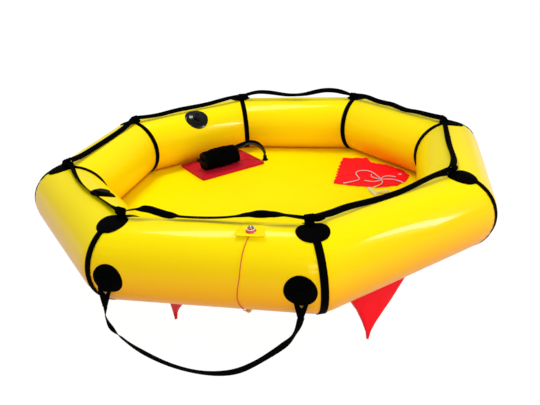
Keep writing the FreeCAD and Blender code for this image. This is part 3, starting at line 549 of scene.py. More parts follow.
def corner_hoop():
    """The hoop for a corner on the -Y axis."""
    stations = []
    for step in range(HOOP_STEPS):
        angle = 2 * math.pi * step / HOOP_STEPS
        normal = way_out(angle)
        middle = Vector((0, -CORNER_REACH, TUBE_RADIUS)) + normal * (TUBE_RADIUS + WEBBING_THICKNESS / 2)
        stations.append((middle, Vector((1, 0, 0)), normal))
    hoop = strip_mesh("corner_hoop", stations, WEBBING_WIDTH, WEBBING_THICKNESS, closed=True)
    for vertex in hoop.data.vertices:
        x, y, z = vertex.co
        inward = y + CORNER_REACH
        if inward > 0:
            crease = abs(x) * math.tan(TURN / 2) * min(inward / HOOP_CREASE, 1)
            vertex.co.y = -CORNER_REACH + inward / math.cos(TURN / 2) + crease
    return hoop


def corner_copy(piece, corner):
    """A copy of a piece made for a corner on the -Y axis, at one of the octagon's corners."""
    return moved_copy(piece, side_turn(corner - 0.5))


black_webbing = webbing_cloth("black_webbing", WEBBING_BLACK, THREAD_BLACK)
hoop = corner_hoop()
for corner in range(SIDES):
    finish_piece(corner_copy(hoop, corner), f"corner_hoop_{corner + 1}", black_webbing, "black_webbing",
                 f"corner_band_{corner + 1}")
bpy.data.objects.remove(hoop)

# Lifeline. One length of the same webbing laced through the corner loops, in eight loose spans that lie
# on the tube, lift off it and roll over as limp webbing does.
LINE_START = (-303, -25, 303)
LINE_END = (303, -25, 303)
# Each span's points between its ends, in millimetres: along its side, outward from the tube's middle and up.
LINE_ROUTES = [
    [(-262, -28, 311), (-218, -28, 314), (-182, -28, 302), (-145, -29, 291), (-80, -30, 287),
     (0, -28, 289), (65, -26, 296), (120, -25, 308), (178, -24, 312), (245, -26, 310)],
    [(-245, -26, 293), (-175, -25, 297), (-115, -26, 291), (-57, -24, 286.5), (0, -22, 285),
     (60, -20, 286), (120, -22, 290), (180, -26, 295), (240, -27, 299)],
    [(-245, -15, 300), (-180, -11, 294), (-110, -13, 291), (-30, -17, 288), (60, -19, 287),
     (150, -19, 288), (235, -22, 294)],
    [(-235, -26, 300), (-160, -27, 302), (-80, -27, 295), (-30, -26, 299), (17, -27, 306),
     (75, -26, 303), (130, -27, 303), (190, -26, 310), (250, -27, 311)],
    [(-260, -27, 318), (-212, -27, 329), (-160, -27, 331), (-108, -26, 322), (-56, -27, 310),
     (0, -28, 305), (55, -27, 306), (105, -26, 314), (157, -27, 322), (212, -27, 325),
     (262, -27, 316)],
    [(-244, -26, 305), (-180, -27, 302), (-117, -27, 297), (-50, -26, 296), (10, -27, 298),
     (65, -27, 299), (120, -26, 297), (176, -27, 294), (240, -27, 296)],
    [(-240, -26, 294), (-170, -26, 289), (-90, -25, 287), (0, -26, 288), (90, -26, 290),
     (180, -25, 291), (245, -26, 295)],
    [(-255, -20, 293), (-200, -12, 288), (-143, -6, 287), (-85, -2, 287.5), (-30, -1, 289),
     (25, -4, 290), (85, -10, 289.5), (140, -17, 287), (195, -22, 288), (250, -25, 294)],
]
# How far each span is rolled about its own line, in degrees, at shares of its length.
LINE_ROLLS = [
    [(0, -15), (0.07, -10), (0.13, 40), (0.20, 65), (0.26, 40), (0.32, -12), (0.62, -10), (0.70, 10),
     (0.77, 55), (0.83, 25), (0.90, -8), (1, 0)],
    [(0, 15), (0.12, 32), (0.4, 28), (0.7, 12), (1, 15)],
    [(0, 10), (0.3, 20), (0.6, 12), (1, 25)],
    [(0, -45), (0.3, -35), (0.6, -50), (1, -40)],
    [(0, -20), (0.12, -60), (0.3, -60), (0.5, -25), (0.75, -45), (1, -35)],
    [(0, -35), (0.5, -48), (1, -35)],
    [(0, -30), (0.4, -45), (0.7, -34), (1, -40)],
    [(0, -20), (0.12, -42), (0.5, -52), (0.8, -40), (1, -8)],
]


def side_point(side, along, outward, height):
    """A point given by the side of the octagon, its place along it, out from the tube's middle, and up."""
    return side_turn(side) @ Vector((along, -APOTHEM - outward, height))


def nurbs_curve(name, points, steps):
    curve = bpy.data.curves.new(name, "CURVE")
    curve.dimensions = "3D"
    curve.resolution_u = steps
    spline = curve.splines.new("NURBS")
    spline.points.add(len(points) - 1)
    for point, place in zip(spline.points, points):
        point.co = (*place, 1)
    spline.order_u = 3
    spline.use_endpoint_u = True
    return curve


def smooth_line(points):
    """The line that a limp cord takes round its route: a NURBS curve, read back as points."""
    curve = nurbs_curve("line", points, 14)
    holder = add_object("line", curve)
    bpy.context.view_layer.update()
    line = bpy.data.meshes.new_from_object(holder)
    found = [vertex.co.copy() for vertex in line.vertices]
    bpy.data.objects.remove(holder)
    bpy.data.meshes.remove(line)
    bpy.data.curves.remove(curve)
    return found


def length_of(line):
    return sum((b - a).length for a, b in zip(line, line[1:]))


def between(keys, share, eased=True):
    """The value at a share, from (share, value) pairs, in eased or straight steps."""
    for (low, first), (high, second) in zip(keys, keys[1:]):
        if share <= high:
            part = (share - low) / (high - low)
            if eased:
                part = part * part * (3 - 2 * part)
            return first + (second - first) * part
    return keys[-1][1]


def tangents(line):
    return [(after - before).normalized()
            for before, after in zip([line[0], *line], [*line[1:], line[-1]])]


def webbing_along(name, line, rolls, facing, width=WEBBING_WIDTH):
    """Webbing that follows a line, faces one way and is rolled about the line."""
    total, run, stations = length_of(line), 0.0, []
    for before, place, tangent in zip([line[0], *line], line, tangents(line)):
        run += (place - before).length
        across = tangent.cross(facing).normalized()
        across = Matrix.Rotation(math.radians(between(rolls, run / total)), 3, tangent) @ across
        stations.append((place, across, across.cross(tangent)))
    return strip_mesh(name, stations, width, WEBBING_THICKNESS)


for side, (route, rolls) in enumerate(zip(LINE_ROUTES, LINE_ROLLS)):
    line = smooth_line([side_point(side, *(value / 1000 for value in point))
                        for point in (LINE_START, *route, LINE_END)])
    span = webbing_along(f"lifeline_span_{side + 1}", line, rolls, Vector((0, 0, 1)))
    finish_piece(span, span.name, black_webbing, "black_webbing", f"lifeline_{side + 1}")

# Boarding strap. A stirrup of the same webbing that hangs in a loop below the front side, between the
# two tabs it is sewn to, and turns edge on where it leaves them.
STRAP_ROUTE = [
    (-333, -928, 46), (-341, -930, 18), (-340, -930, -8), (-330, -932, -38), (-303, -933, -70),
    (-266, -932, -107), (-205, -929, -149), (-135, -927, -181), (-55, -926, -198), (22, -927, -195),
    (90, -929, -175), (153, -931, -133), (212, -932, -85), (255, -932, -46), (281, -931, -13),
    (299, -929, 20), (306, -928, 52),
]
STRAP_ROLLS = [(0, 35), (0.05, 60), (0.10, 78), (0.16, 30), (0.26, 12), (0.45, 20), (0.62, 8), (0.75, 22),
               (0.86, 15), (0.93, 55), (1, 35)]
strap_line = smooth_line([Vector(point) / 1000 for point in STRAP_ROUTE])
strap = webbing_along("boarding_stirrup", strap_line, STRAP_ROLLS, Vector((0, -1, 0)))
finish_piece(strap, strap.name, black_webbing, "black_webbing", "boarding_strap")

# Lamp lead. Red two-core flex, 3 mm thick, that comes out from under the lamp's flap and runs loose
# round the outside of the tube to the water cell below.
LEAD_ROUTE = [
    (142, -828.3, 275.9), (138, -852.4, 266.2), (133, -875.1, 250.9), (130, -894.5, 231.7),
    (128, -911.2, 206.9), (126, -922.4, 179.3), (120, -927.6, 149.9), (114, -926.5, 120.2),
    (111, -919.3, 91.2), (113, -906.2, 64.4), (116, -887.9, 40.9), (113, -872.3, 24.6),
    (112, -848.5, 5.5), (112, -823.2, -8.5),
]
LEAD_DIAMETER = 0.003


def round_cord(name, points, diameter):
    """A plain round cord as one NURBS curve with a round section."""
    curve = nurbs_curve(name, points, 10)
    curve.bevel_depth = diameter / 2
    curve.bevel_resolution = 4
    curve.use_fill_caps = True
    return add_object(name, curve)


def plain_material(name, color, roughness, metallic=0.0, coat=0.0, mottle=0.15, scale=60.0, bump=0.1,
                   specular=0.5):
    """Moulded or painted stuff: a little colour mottling and a fine bump, both in the piece's own space."""
    material, tree, shader = new_material(name)
    grain = add_noise(tree, own_place(tree), scale, 4)
    darker = (*(c * (1 - mottle) + 0.02 * mottle for c in color), 1)
    feed(tree, shader, {
        "Base Color": add_mix(tree, grain, (*color, 1), darker),
        "Roughness": add_range(tree, grain, made=(roughness - 0.06, roughness + 0.10)),
        "Normal": add_relief(tree, grain, bump, 0.0008),
        "Metallic": metallic, "Coat Weight": coat, "Specular IOR Level": specular})
    return material


lead_route = [Vector(point) / 1000 for point in LEAD_ROUTE]
lead = round_cord("lamp_flex", lead_route, LEAD_DIAMETER)
finish_piece(lead, lead.name, plain_material("red_flex", (0.70, 0.07, 0.01), 0.40), "lead_insulation",
             "lamp_lead")

# Pump hose. Smooth black rubber hose, 12 mm thick, that leaves the pump's end, arches up and comes
# down to the adaptor that fits the topping-up valve.
GEAR_SIDE = 5
HOSE_ROUTE = [
    (-124, 500, 105.6), (-142, 500, 105.6), (-168, 496, 112), (-195, 489, 115), (-222, 480, 108),
    (-246, 470, 88), (-264, 462, 60), (-264, 462, 39),
]
HOSE_DIAMETER = 0.012


def gear_route(points):
    """Points in millimetres among the gear: along the gear's side, out from the raft's axis, and up."""
    return [side_turn(GEAR_SIDE) @ Vector((along / 1000, -reach / 1000, height / 1000))
            for along, reach, height in points]


hose_route = gear_route(HOSE_ROUTE)
hose = round_cord("pump_hose_rubber", hose_route, HOSE_DIAMETER)
black_rubber = plain_material("black_rubber", (0.0012, 0.0012, 0.0015), 0.50, mottle=0.02, bump=0.2,
                              scale=120)
finish_piece(hose, hose.name, black_rubber, "hose_rubber", "pump_hose")

# Sea anchor's cord. White braided cord, 4 mm thick, thrown down loosely on the folded cloth, with its
# tail and three short strands of its bridle.
CORD_DIAMETER = 0.004
CORD_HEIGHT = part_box("sea_anchor")[1].z * 1000 + 2.3
CORD_ROUTE = [
    (315, 196), (352, 214), (390, 247), (376, 285), (359, 323), (372, 360), (414, 368), (445, 341),
    (468, 297), (490, 256), (499, 212), (480, 176), (446, 145.5),
]
CORD_TAIL = [(494, 256), (532, 262), (570, 246), (594, 214)]
STRANDS = [
    [(492, 250), (470, 226), (440, 222), (412, 236)], [(488, 268), (500, 296), (530, 302), (556, 288)],
    [(478, 262), (452, 270), (436, 292), (440, 318)],
]
white_cord = plain_material("white_cord", (0.80, 0.80, 0.78), 0.75, mottle=0.35, scale=700, bump=0.6)


def cord_on_cloth(name, points, *stands_for):
    """A cord laid on the folded cloth; returns it with its route."""
    route = [Vector((x, y, CORD_HEIGHT)) / 1000 for x, y in points]
    cord = round_cord(name, route, CORD_DIAMETER)
    finish_piece(cord, name, white_cord, "white_cord", *stands_for)
    return cord, route


drogue_line, route = cord_on_cloth("drogue_line", CORD_ROUTE, "sea_anchor_cord")
drogue_tail, route = cord_on_cloth("drogue_tail", CORD_TAIL)
for number, points in enumerate(STRANDS, 1):
    strand, route = cord_on_cloth(f"drogue_strand_{number}", points)
    length_of(smooth_line(route))

# Bonded patches. Round pieces of black coated cloth, glued on and pressed down over the tube's curve,
# so that each thins away at its rim.
PATCH_LIFT = 0.0025
PATCH_THICKNESS = 0.0008
PATCH_EDGE_LIFT = 0.001
PATCH_RIM_SHARE = 0.06
PATCH_START = 0.06    # how far off the tube a patch starts before it is pressed down


def tube_gap(point, turns):
    """How far a point is off the tube's skin, counting the sides that stand at these turns."""
    gaps = []
    for turn in turns:
        place = Matrix.Rotation(-turn, 3, "Z") @ point
        along = max(-HALF_SIDE, min(HALF_SIDE, place.x))
        gaps.append((place - Vector((along, -APOTHEM, TUBE_RADIUS))).length - TUBE_RADIUS)
    return min(gaps)


def bonded_patch(centre, normal, radius, turns):
    """A disc laid on the tube about a point of its skin."""
    patch = fine_disc(72, 15)
    level = normal.cross(Vector((0, 0, 1))).normalized() if abs(normal.z) < 0.99 else Vector((1, 0, 0))
    upward = normal.cross(level)
    for vertex in patch.data.vertices:
        rim = min(1.0, max(0.0, (vertex.co.length - 1 + PATCH_RIM_SHARE) / PATCH_RIM_SHARE))
        point = centre + (level * vertex.co.x + upward * vertex.co.y) * radius + normal * PATCH_START
        height = PATCH_EDGE_LIFT + (PATCH_LIFT - PATCH_EDGE_LIFT) * math.sqrt(1 - rim * rim)
        height += 0.0002 * noise.noise(point * 60)
        for _ in range(16):
            point -= normal * (tube_gap(point, turns) - height)
        vertex.co = point
    even_normals()
    if patch.data.polygons[0].normal.dot(normal) < 0:
        patch.data.flip_normals()
    return thickened(patch, PATCH_THICKNESS)


black_patch = plain_material("black_patch", (0.0004, 0.0004, 0.0005), 0.65, mottle=0.0, bump=0.25,
                             scale=260, specular=0.015)

# Lifeline anchors. At each corner a patch, a fold of webbing sewn upright on it, and the lifeline's slack
# bunched and sewn where it passes the fold.
ANCHOR_PATCH_RADIUS = 0.053
ANCHOR_RISE = math.radians(85)
LOOP_REACH = CORNER_REACH - 0.030
LOOP_HEIGHT = 0.303
LOOP_RADIUS = 0.0105
LOOP_WIDTH = 0.030
LOOP_THICKNESS = 0.003
LOOP_LEG_GAP = 0.0045    # from the fold's middle to each of its legs
LOOP_LEG_HEIGHTS = (0.270, 0.276, 0.282, 0.288)
LOOP_START = 215    # degrees round the fold's top, over it to the other leg
LOOP_SWEEP = 250
LOOP_STEPS = 24
# The bunch at each corner: its offset along the side and outward, its half-length, half-depth and
# half-height, and its height.
BUNCHES = [
    (0.000, 0.006, 0.017, 0.012, 0.0090, 0.300), (0.027, 0, 0.025, 0.0095, 0.0110, 0.2975),
    (0.012, 0.006, 0.024, 0.0110, 0.0110, 0.2975), (0.000, 0.004, 0.036, 0.0140, 0.0165, 0.2955),
    (-0.004, 0, 0.029, 0.0100, 0.0110, 0.2960), (0.004, 0, 0.042, 0.0130, 0.0165, 0.2950),
    (0.000, 0.004, 0.038, 0.0130, 0.0165, 0.2955), (0.000, 0.016, 0.030, 0.0180, 0.0160, 0.2970),
]
BUNCH_LUMPS = 0.18


def loop_stations():
    """Up one side of the fold, over the lifeline and down the other, in the plane through the axis."""
    middle = Vector((0, -LOOP_REACH, LOOP_HEIGHT))
    path = [Vector((0, -LOOP_REACH - LOOP_LEG_GAP, height)) for height in LOOP_LEG_HEIGHTS]
    for step in range(LOOP_STEPS + 1):
        angle = math.radians(LOOP_START - LOOP_SWEEP * step / LOOP_STEPS)
        path.append(middle + Vector((0, math.cos(angle), math.sin(angle))) * LOOP_RADIUS)
    path += [Vector((0, -LOOP_REACH + LOOP_LEG_GAP, height)) for height in reversed(LOOP_LEG_HEIGHTS)]
    across = Vector((1, 0, 0))
    return [(place, across, across.cross(tangent)) for place, tangent in zip(path, tangents(path))]


def line_bunch(offset, outward, length, depth, height, level):
    """Slack webbing gathered into a lumpy roll."""
    bpy.ops.mesh.primitive_uv_sphere_add(segments=32, ring_count=20, radius=1)
    bunch = bpy.context.object
    bunch.data.transform(LYING)
    for vertex in bunch.data.vertices:
        place = vertex.co * 2.1 + Vector((offset * 300, length * 200, 0))
        spot = vertex.co * (1 + BUNCH_LUMPS * noise.noise(place))
        vertex.co = (spot.x * length + offset, spot.y * depth - LOOP_REACH - outward, spot.z * height + level)
    return bunch


anchor_normal = way_out(ANCHOR_RISE)
anchor_seat = Vector((0, -CORNER_REACH, TUBE_RADIUS)) + anchor_normal * TUBE_RADIUS
anchor_patch = bonded_patch(anchor_seat, anchor_normal, ANCHOR_PATCH_RADIUS, (-TURN / 2, TURN / 2))
anchor_fold = strip_mesh("anchor_fold", loop_stations(), LOOP_WIDTH, LOOP_THICKNESS)
for corner in range(SIDES):
    finish_piece(corner_copy(anchor_patch, corner), f"anchor_patch_{corner + 1}", black_patch,
                 "black_patch", f"lifeline_anchor_{corner + 1}")
    finish_piece(corner_copy(anchor_fold, corner), f"anchor_fold_{corner + 1}", black_webbing,
                 "black_patch")
    bunch = line_bunch(*BUNCHES[corner])
    finish_piece(corner_copy(bunch, corner), f"lifeline_bunch_{corner + 1}", black_patch, "black_patch")
    bpy.data.objects.remove(bunch)
for pattern in (anchor_patch, anchor_fold):
    bpy.data.objects.remove(pattern)

# Strap patches and tabs. A patch at each end of the boarding side, and on it a doubled webbing tab,
# folded to a point where the boarding strap is sewn in.
STRAP_PATCH_INSET = 0.0173
STRAP_PATCH_RADIUS = 0.051
STRAP_PATCH_RISE = math.radians(1)


def soft_copy(name, node, longest, ruffle, scale):
    """A cloth piece on the plain solid's own shape, cut fine enough to be a little uneven all over."""
    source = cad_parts[node]
    piece = add_object(name, source.data.copy())
    piece.data.transform(source.matrix_world)
    bpy.ops.object.select_all(action="DESELECT")
    piece.select_set(True)
    bpy.context.view_layer.objects.active = piece
    bpy.ops.object.mode_set(mode="EDIT")
    bpy.ops.mesh.select_all(action="SELECT")
    bpy.ops.mesh.remove_doubles(threshold=0.00001)
    bpy.ops.object.mode_set(mode="OBJECT")
    mesh = bmesh.new()
    mesh.from_mesh(piece.data)
    for _ in range(7):
        long_edges = [edge for edge in mesh.edges if edge.calc_length() > longest]
        bmesh.ops.subdivide_edges(mesh, edges=long_edges, cuts=1)
        bmesh.ops.triangulate(mesh, faces=[face for face in mesh.faces if len(face.verts) > 3])
    for vertex in mesh.verts:
        vertex.co += vertex.normal * (noise.noise(vertex.co * scale) * ruffle)
    mesh.to_mesh(piece.data)
    mesh.free()
    return piece


strap_normal = way_out(STRAP_PATCH_RISE)
for name, way in (("left", -1), ("right", 1)):
    seat = Vector((way * (HALF_SIDE - STRAP_PATCH_INSET), -APOTHEM, TUBE_RADIUS))
    patch = bonded_patch(seat + strap_normal * TUBE_RADIUS, strap_normal, STRAP_PATCH_RADIUS, (0, way * TURN))
    finish_piece(patch, f"stirrup_patch_{name}", black_patch, "black_patch", f"strap_patch_{name}")
    tab = soft_copy(f"stirrup_tab_{name}", f"strap_tab_{name}", longest=0.003, ruffle=0.0005, scale=90)
    finish_piece(tab, tab.name, black_patch, "black_webbing", f"strap_tab_{name}")

# Ballast bags. Four wedges of red cloth that hang from the floor's underside and fill with water through
# a slot in the face towards the raft's middle. Each hangs from a sewn mouth and is drawn out to a tip.
BAG_PLACES = [(1, -0.0528, 0.0322), (7, 0.2166, 0.1942), (5, -0.0528, 0.0322), (3, 0.2166, 0.1942)]
BAG_WIDTH = 0.080
BAG_MOUTH = 0.0105
BAG_DEPTH = 0.2700
BAG_TIP = 0.012
BAG_TIP_DRIFT = 0.020
BAG_WAIST_SHARE = 0.42
BAG_SLOT = (0.084, 0.038, 0.055)    # length, height, drop of its middle
BAG_SQUARENESS = 0.35
BAG_FOLD = 0.0022
BAG_SINK = 0.10    # the share by which its flat faces sink in halfway down
BAG_CLOTH = 0.0012
BAG_CLEARANCE = 0.001
# Half-lengths on the plain side and on the drawn-in side, at shares of the depth.
BAG_PLAIN_SIDE = [(0, 0.150), (0.35, 0.090), (0.56, 0.057), (0.70, 0.035), (0.90, 0.009), (1, 0.003)]
BAG_DRAWN_SIDE = [(0, 0.150), (0.24, 0.150), (0.42, 0.112), (0.56, 0.080), (0.66, 0.054), (0.78, 0.025),
                  (0.88, 0.008), (1, 0.003)]


def bag_half_width(share):
    """Half a bag's width at a share of its depth: quick taper to the waist, slower to the tip."""
    waist = BAG_WIDTH / 2 * BAG_WAIST_SHARE
    return between([(0, BAG_WIDTH / 2), (0.5, waist), (1, BAG_TIP / 2)], share, eased=False)


def in_bag_slot(place):
    length, height, drop = BAG_SLOT
    return abs(place.x) < length / 2 and abs(place.z + drop) < height / 2 and place.y > 0


def ballast_bag():
    bag = fine_cylinder(144, 70)
    for vertex in bag.data.vertices:
        share = (1 - vertex.co.z) / 2
        angle = math.atan2(vertex.co.y, vertex.co.x)
        cosine, sine = math.cos(angle), math.sin(angle)
        reach = between(BAG_DRAWN_SIDE if cosine > 0 else BAG_PLAIN_SIDE, share, eased=False)
        u = math.copysign(abs(cosine) ** BAG_SQUARENESS, cosine) * (reach - BAG_CLEARANCE)
        v = math.copysign(abs(sine) ** BAG_SQUARENESS, sine) * (bag_half_width(share) - BAG_CLEARANCE)
        drift = -BAG_TIP_DRIFT * max(0, share * 2 - 1)
        height = BAG_MOUTH - share * (BAG_MOUTH + BAG_DEPTH)
        slack = math.sin(math.pi * min(share * 1.1, 1))
        crumple = noise.noise(Vector((u / (1.1 - share) * 14, math.copysign(3, v), share * 2.2)))
        fold = math.copysign(max(BAG_FOLD * slack * crumple, -BAG_CLEARANCE), v)
        vertex.co = (u + drift, v * (1 - BAG_SINK * slack) - fold, height)
    mesh = bmesh.new()
    mesh.from_mesh(bag.data)
    slot = [face for face in mesh.faces if in_bag_slot(face.calc_center_median())]
    bmesh.ops.delete(mesh, geom=slot, context="FACES")
    mesh.to_mesh(bag.data)
    mesh.free()
    even_normals()
    return bag


red_cloth = coated_cloth("red_bag_cloth", (1.0, 0.010, 0.020), (0.90, 0.008, 0.016), 0.50, bump=0.25)
bag_pattern = ballast_bag()
thickened(bag_pattern, BAG_CLOTH)
for number, (side, along, inboard) in enumerate(BAG_PLACES, 1):
    bag = moved_copy(bag_pattern, side_turn(side) @ Matrix.Translation((along, inboard - APOTHEM, 0)))
    finish_piece(bag, f"water_bag_{number}", red_cloth, "red_cloth", f"ballast_bag_{number}")
bpy.data.objects.remove(bag_pattern)

# Locator light. A tongue of tube cloth bonded along the top of the tube, its lip standing off, carries a
# small lamp: a red foot with a white collar, a clear dome and a bulb. Its water cell hangs underneath.
LAMP_PLACE = 0.143
FLAP_TOP_ANGLE = 104.0
FLAP_LIFT_ANGLE = 86.0
FLAP_LIP = 0.052
FLAP_WIDTHS = (0.052, 0.100)
FLAP_LIFT = 0.0010
FLAP_CURL = 0.0022
FLAP_RIPPLE = 0.0012
FLAP_THICKNESS = 0.0014
FLAP_NARROWING = 0.0010
COLLAR_RADIUS = 0.0118
COLLAR_SECTION = 0.0016
COLLAR_RISE = 0.0042    # above the middle of the lamp's foot


def tube_point(side, along, angle, lift=0.0):
    """A point over the tube's skin: the angle runs up from the outward direction round the section."""
    turn = math.radians(angle)
    reach = TUBE_RADIUS + lift
    return side_point(side, along, reach * math.cos(turn), TUBE_RADIUS + reach * math.sin(turn))


def lamp_tongue():
    bpy.ops.mesh.primitive_grid_add(x_subdivisions=40, y_subdivisions=60, size=2)
    flap = bpy.context.object
    lift_turn = math.radians(FLAP_LIFT_ANGLE)
    bonded = (TUBE_RADIUS + FLAP_LIFT) * math.radians(FLAP_TOP_ANGLE - FLAP_LIFT_ANGLE)
    whole = bonded + FLAP_LIP
    for vertex in flap.data.vertices:
        run = (1 - vertex.co.y) / 2 * whole
        loose = max(0, run - bonded)
        angle = FLAP_TOP_ANGLE - math.degrees((run - loose) / (TUBE_RADIUS + FLAP_LIFT))
        spot = tube_point(0, 0, angle, FLAP_LIFT)
        spot += Vector((0, -math.sin(lift_turn), -math.cos(lift_turn))) * loose
        free = loose / FLAP_LIP
        width = FLAP_WIDTHS[0] + (FLAP_WIDTHS[1] - FLAP_WIDTHS[0]) * run / whole
        corner = max(0, abs(vertex.co.x) - 0.5) * 2
        ripple = noise.noise(Vector((vertex.co.x * 2, run * 30, 4)))
        curl = free * (FLAP_CURL * corner + FLAP_RIPPLE * ripple)
        vertex.co = (LAMP_PLACE + vertex.co.x * (width / 2 - FLAP_NARROWING * free), spot.y, spot.z + curl)
    if flap.data.polygons[0].normal.z < 0:
        flap.data.flip_normals()
    return thickened(flap, FLAP_THICKNESS, 0)


flap_cloth = coated_cloth("yellow_flap_cloth", (1.0, 0.80, 0.0), (1.0, 0.74, 0.0), 0.38, bump=0.14)
tongue = finish_piece(lamp_tongue(), "lamp_tongue", flap_cloth, "tube_fabric", "lamp_flap")


def dress(material, *nodes):
    """Gives plain solids their material, in their own slots."""
    for node in nodes:
        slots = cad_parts[node].data.materials
        slots.clear()
        slots.append(material)


def clear_plastic(name, roughness):
    material, tree, shader = new_material(name)
    haze = add_noise(tree, own_place(tree), 90)
    feed(tree, shader, {
        "Transmission Weight": 1.0, "IOR": 1.49,
        "Roughness": add_range(tree, haze, made=(roughness, roughness + 0.06))})
    return material


def torus(radius, section, around, across):
    bpy.ops.mesh.primitive_torus_add(major_radius=radius, minor_radius=section, major_segments=around,
                                     minor_segments=across)
    return bpy.context.object


dress(plain_material("red_lamp_plastic", (0.80, 0.06, 0.008), 0.28, coat=0.4), "lamp_base")
dress(clear_plastic("clear_lens", 0.03), "lamp_dome")
dress(plain_material("frosted_bulb", (0.90, 0.88, 0.82), 0.35, mottle=0.05), "lamp_bulb")
dress(plain_material("cell_plastic", (0.80, 0.42, 0.012), 0.50), "sea_water_cell")
white_plastic = plain_material("white_plastic", (0.85, 0.85, 0.84), 0.32, mottle=0.08, coat=0.2)
lamp_low, lamp_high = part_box("lamp_base")
collar_place = (lamp_low + lamp_high) / 2 + way_out(math.radians(FLAP_LIFT_ANGLE)) * COLLAR_RISE
collar = torus(COLLAR_RADIUS, COLLAR_SECTION, 64, 16)
collar_lean = Matrix.Rotation(math.radians(90 - FLAP_LIFT_ANGLE), 4, "X")
collar.data.transform(Matrix.Translation(collar_place) @ collar_lean)
finish_piece(collar, "lamp_collar", white_plastic, "lamp_plastic")

# Topping-up valve and relief valve. Moulded black plastic on their own bonded patches, on the tube's
# inner side: a flanged neck with a hinged cap, and a small slotted cage over a spring poppet.
VALVE_ANGLE = 128.0
VALVE_PATCH_RADIUS = 0.062
RELIEF_SIDE = 7
RELIEF_PLACE = 0.045
RELIEF_ANGLE = 110.0
RELIEF_PATCH_RADIUS = 0.046


def side_patch(name, node, side, along, angle, radius, material):
    """A bonded patch on one side of the tube, at an angle round its section."""
    normal = side_turn(side).to_3x3() @ way_out(math.radians(angle))
    patch = bonded_patch(tube_point(side, along, angle), normal, radius, (side * TURN,))
    finish_piece(patch, name, material, "black_patch", node)


gloss_black = plain_material("gloss_black_plastic", (0.0012, 0.0012, 0.0020), 0.16, coat=0.25, mottle=0.05,
                             bump=0.03, specular=0.25)
matt_black = plain_material("matt_black_plastic", (0.0010, 0.0010, 0.0012), 0.50, mottle=0.0, specular=0.08)
side_patch("valve_mat", "valve_patch", GEAR_SIDE, 0, VALVE_ANGLE, VALVE_PATCH_RADIUS, gloss_black)
side_patch("relief_mat", "relief_patch", RELIEF_SIDE, RELIEF_PLACE, RELIEF_ANGLE, RELIEF_PATCH_RADIUS,
           black_patch)
dress(gloss_black, "valve_body", "valve_cap")
dress(matt_black, "relief_cage", "relief_poppet")

# Valise. The case that the raft's gear comes in, a flat bag sewn from red coated cloth, with a stitched
# hem all round and a slack, creased top.
VALISE_LENGTH = 0.364
VALISE_WIDTH = 0.270
VALISE_PLACE = (-0.050, 0.549)
VALISE_HEM = 0.028
VALISE_HEM_THICKNESS = 0.0120
VALISE_HEIGHT = 0.0225
VALISE_BOTTOM = FLOOR_TOP + 0.0004
VALISE_ROUNDING = 0.016
VALISE_SEAM_WIDTH = 0.003
VALISE_SEAM_HEIGHT = 0.0010
VALISE_CORNER = 0.018    # the share by which its corners are drawn in


def flat_case():
    bpy.ops.mesh.primitive_cube_add(size=2)
    case = cut_long_edges(63)
    for vertex in case.data.vertices:
        u, v, w = vertex.co
        x, y = u * VALISE_LENGTH / 2, v * VALISE_WIDTH / 2
        inside = min(VALISE_LENGTH / 2 - abs(x), VALISE_WIDTH / 2 - abs(y)) - VALISE_HEM
        rise = 0 if inside < 0 else 1 - math.exp(-inside / VALISE_ROUNDING)
        seam = math.exp(-(inside / VALISE_SEAM_WIDTH) ** 2)
        crease = noise.noise(Vector((x * 16, y * 30, 2))) + 0.5 * noise.noise(Vector((x * 44, y * 50, 7)))
        height = VALISE_HEM_THICKNESS + (VALISE_HEIGHT - VALISE_HEM_THICKNESS) * rise * (0.93 + 0.07 * crease)
        height += VALISE_SEAM_HEIGHT * seam + 0.0006 * crease * (1 - rise)
        corner = 1 - VALISE_CORNER * abs(u) ** 8 * abs(v) ** 8
        vertex.co = (x * corner, y * corner, VALISE_BOTTOM + (w + 1) / 2 * height)
    case.data.transform(side_turn(GEAR_SIDE) @ Matrix.Translation((VALISE_PLACE[0], -VALISE_PLACE[1], 0)))
    return case


valise_cloth = coated_cloth("valise_cloth", (0.56, 0.010, 0.030), (0.40, 0.008, 0.022), 0.42, bump=0.25)
case = finish_piece(flat_case(), "gear_case", valise_cloth, "valise_cloth", "valise")

# Hand pump. A ribbed black barrel with a plunger, bundled up in turns of webbing. The webbing's spare
# end is laid out over the hose.
PUMP_RADIUS = 0.042
PUMP_LENGTH = 0.190
PUMP_START = (-0.110, -0.500)
PUMP_HEIGHT = FLOOR_TOP + 0.024 + PUMP_RADIUS + 0.0006
WRAP_WIDTH = 0.028
WRAP_THICKNESS = 0.0018
WRAP_STEPS = 90
WRAP_TURNS = 1.5
WRAP_LIFTS = (0.0012, 0.0098)    # the least and the most that it stands off the barrel
WRAP_LAYER = 0.0016
WRAP_SWELL = 0.0072    # at the middle of the barrel, where the bundle is thickest
WRAP_CRUMPLE = 0.0030
WRAP_LOWEST = FLOOR_TOP + 0.0262
# Each wrap: its place along the barrel, its slant in degrees, and the angle it starts from.
WRAPS = [
    (0.016, 9, 0.3), (0.040, -12, 1.7), (0.064, 7, 2.9), (0.088, -8, 4.1), (0.110, 12, 5.0),
    (0.134, -10, 0.9), (0.158, 8, 2.2), (0.176, -7, 3.6),
]
TAIL_ROUTE = [(-112, 497, 112), (-142, 503, 116), (-170, 500, 121), (-197, 494, 123), (-224, 484, 116),
              (-247, 474, 97), (-262, 466, 72), (-266, 462, 50)]
TAIL_ROLLS = [(0, 60), (0.3, 35), (0.6, 70), (1, 20)]
TAIL_WIDTH = 0.022


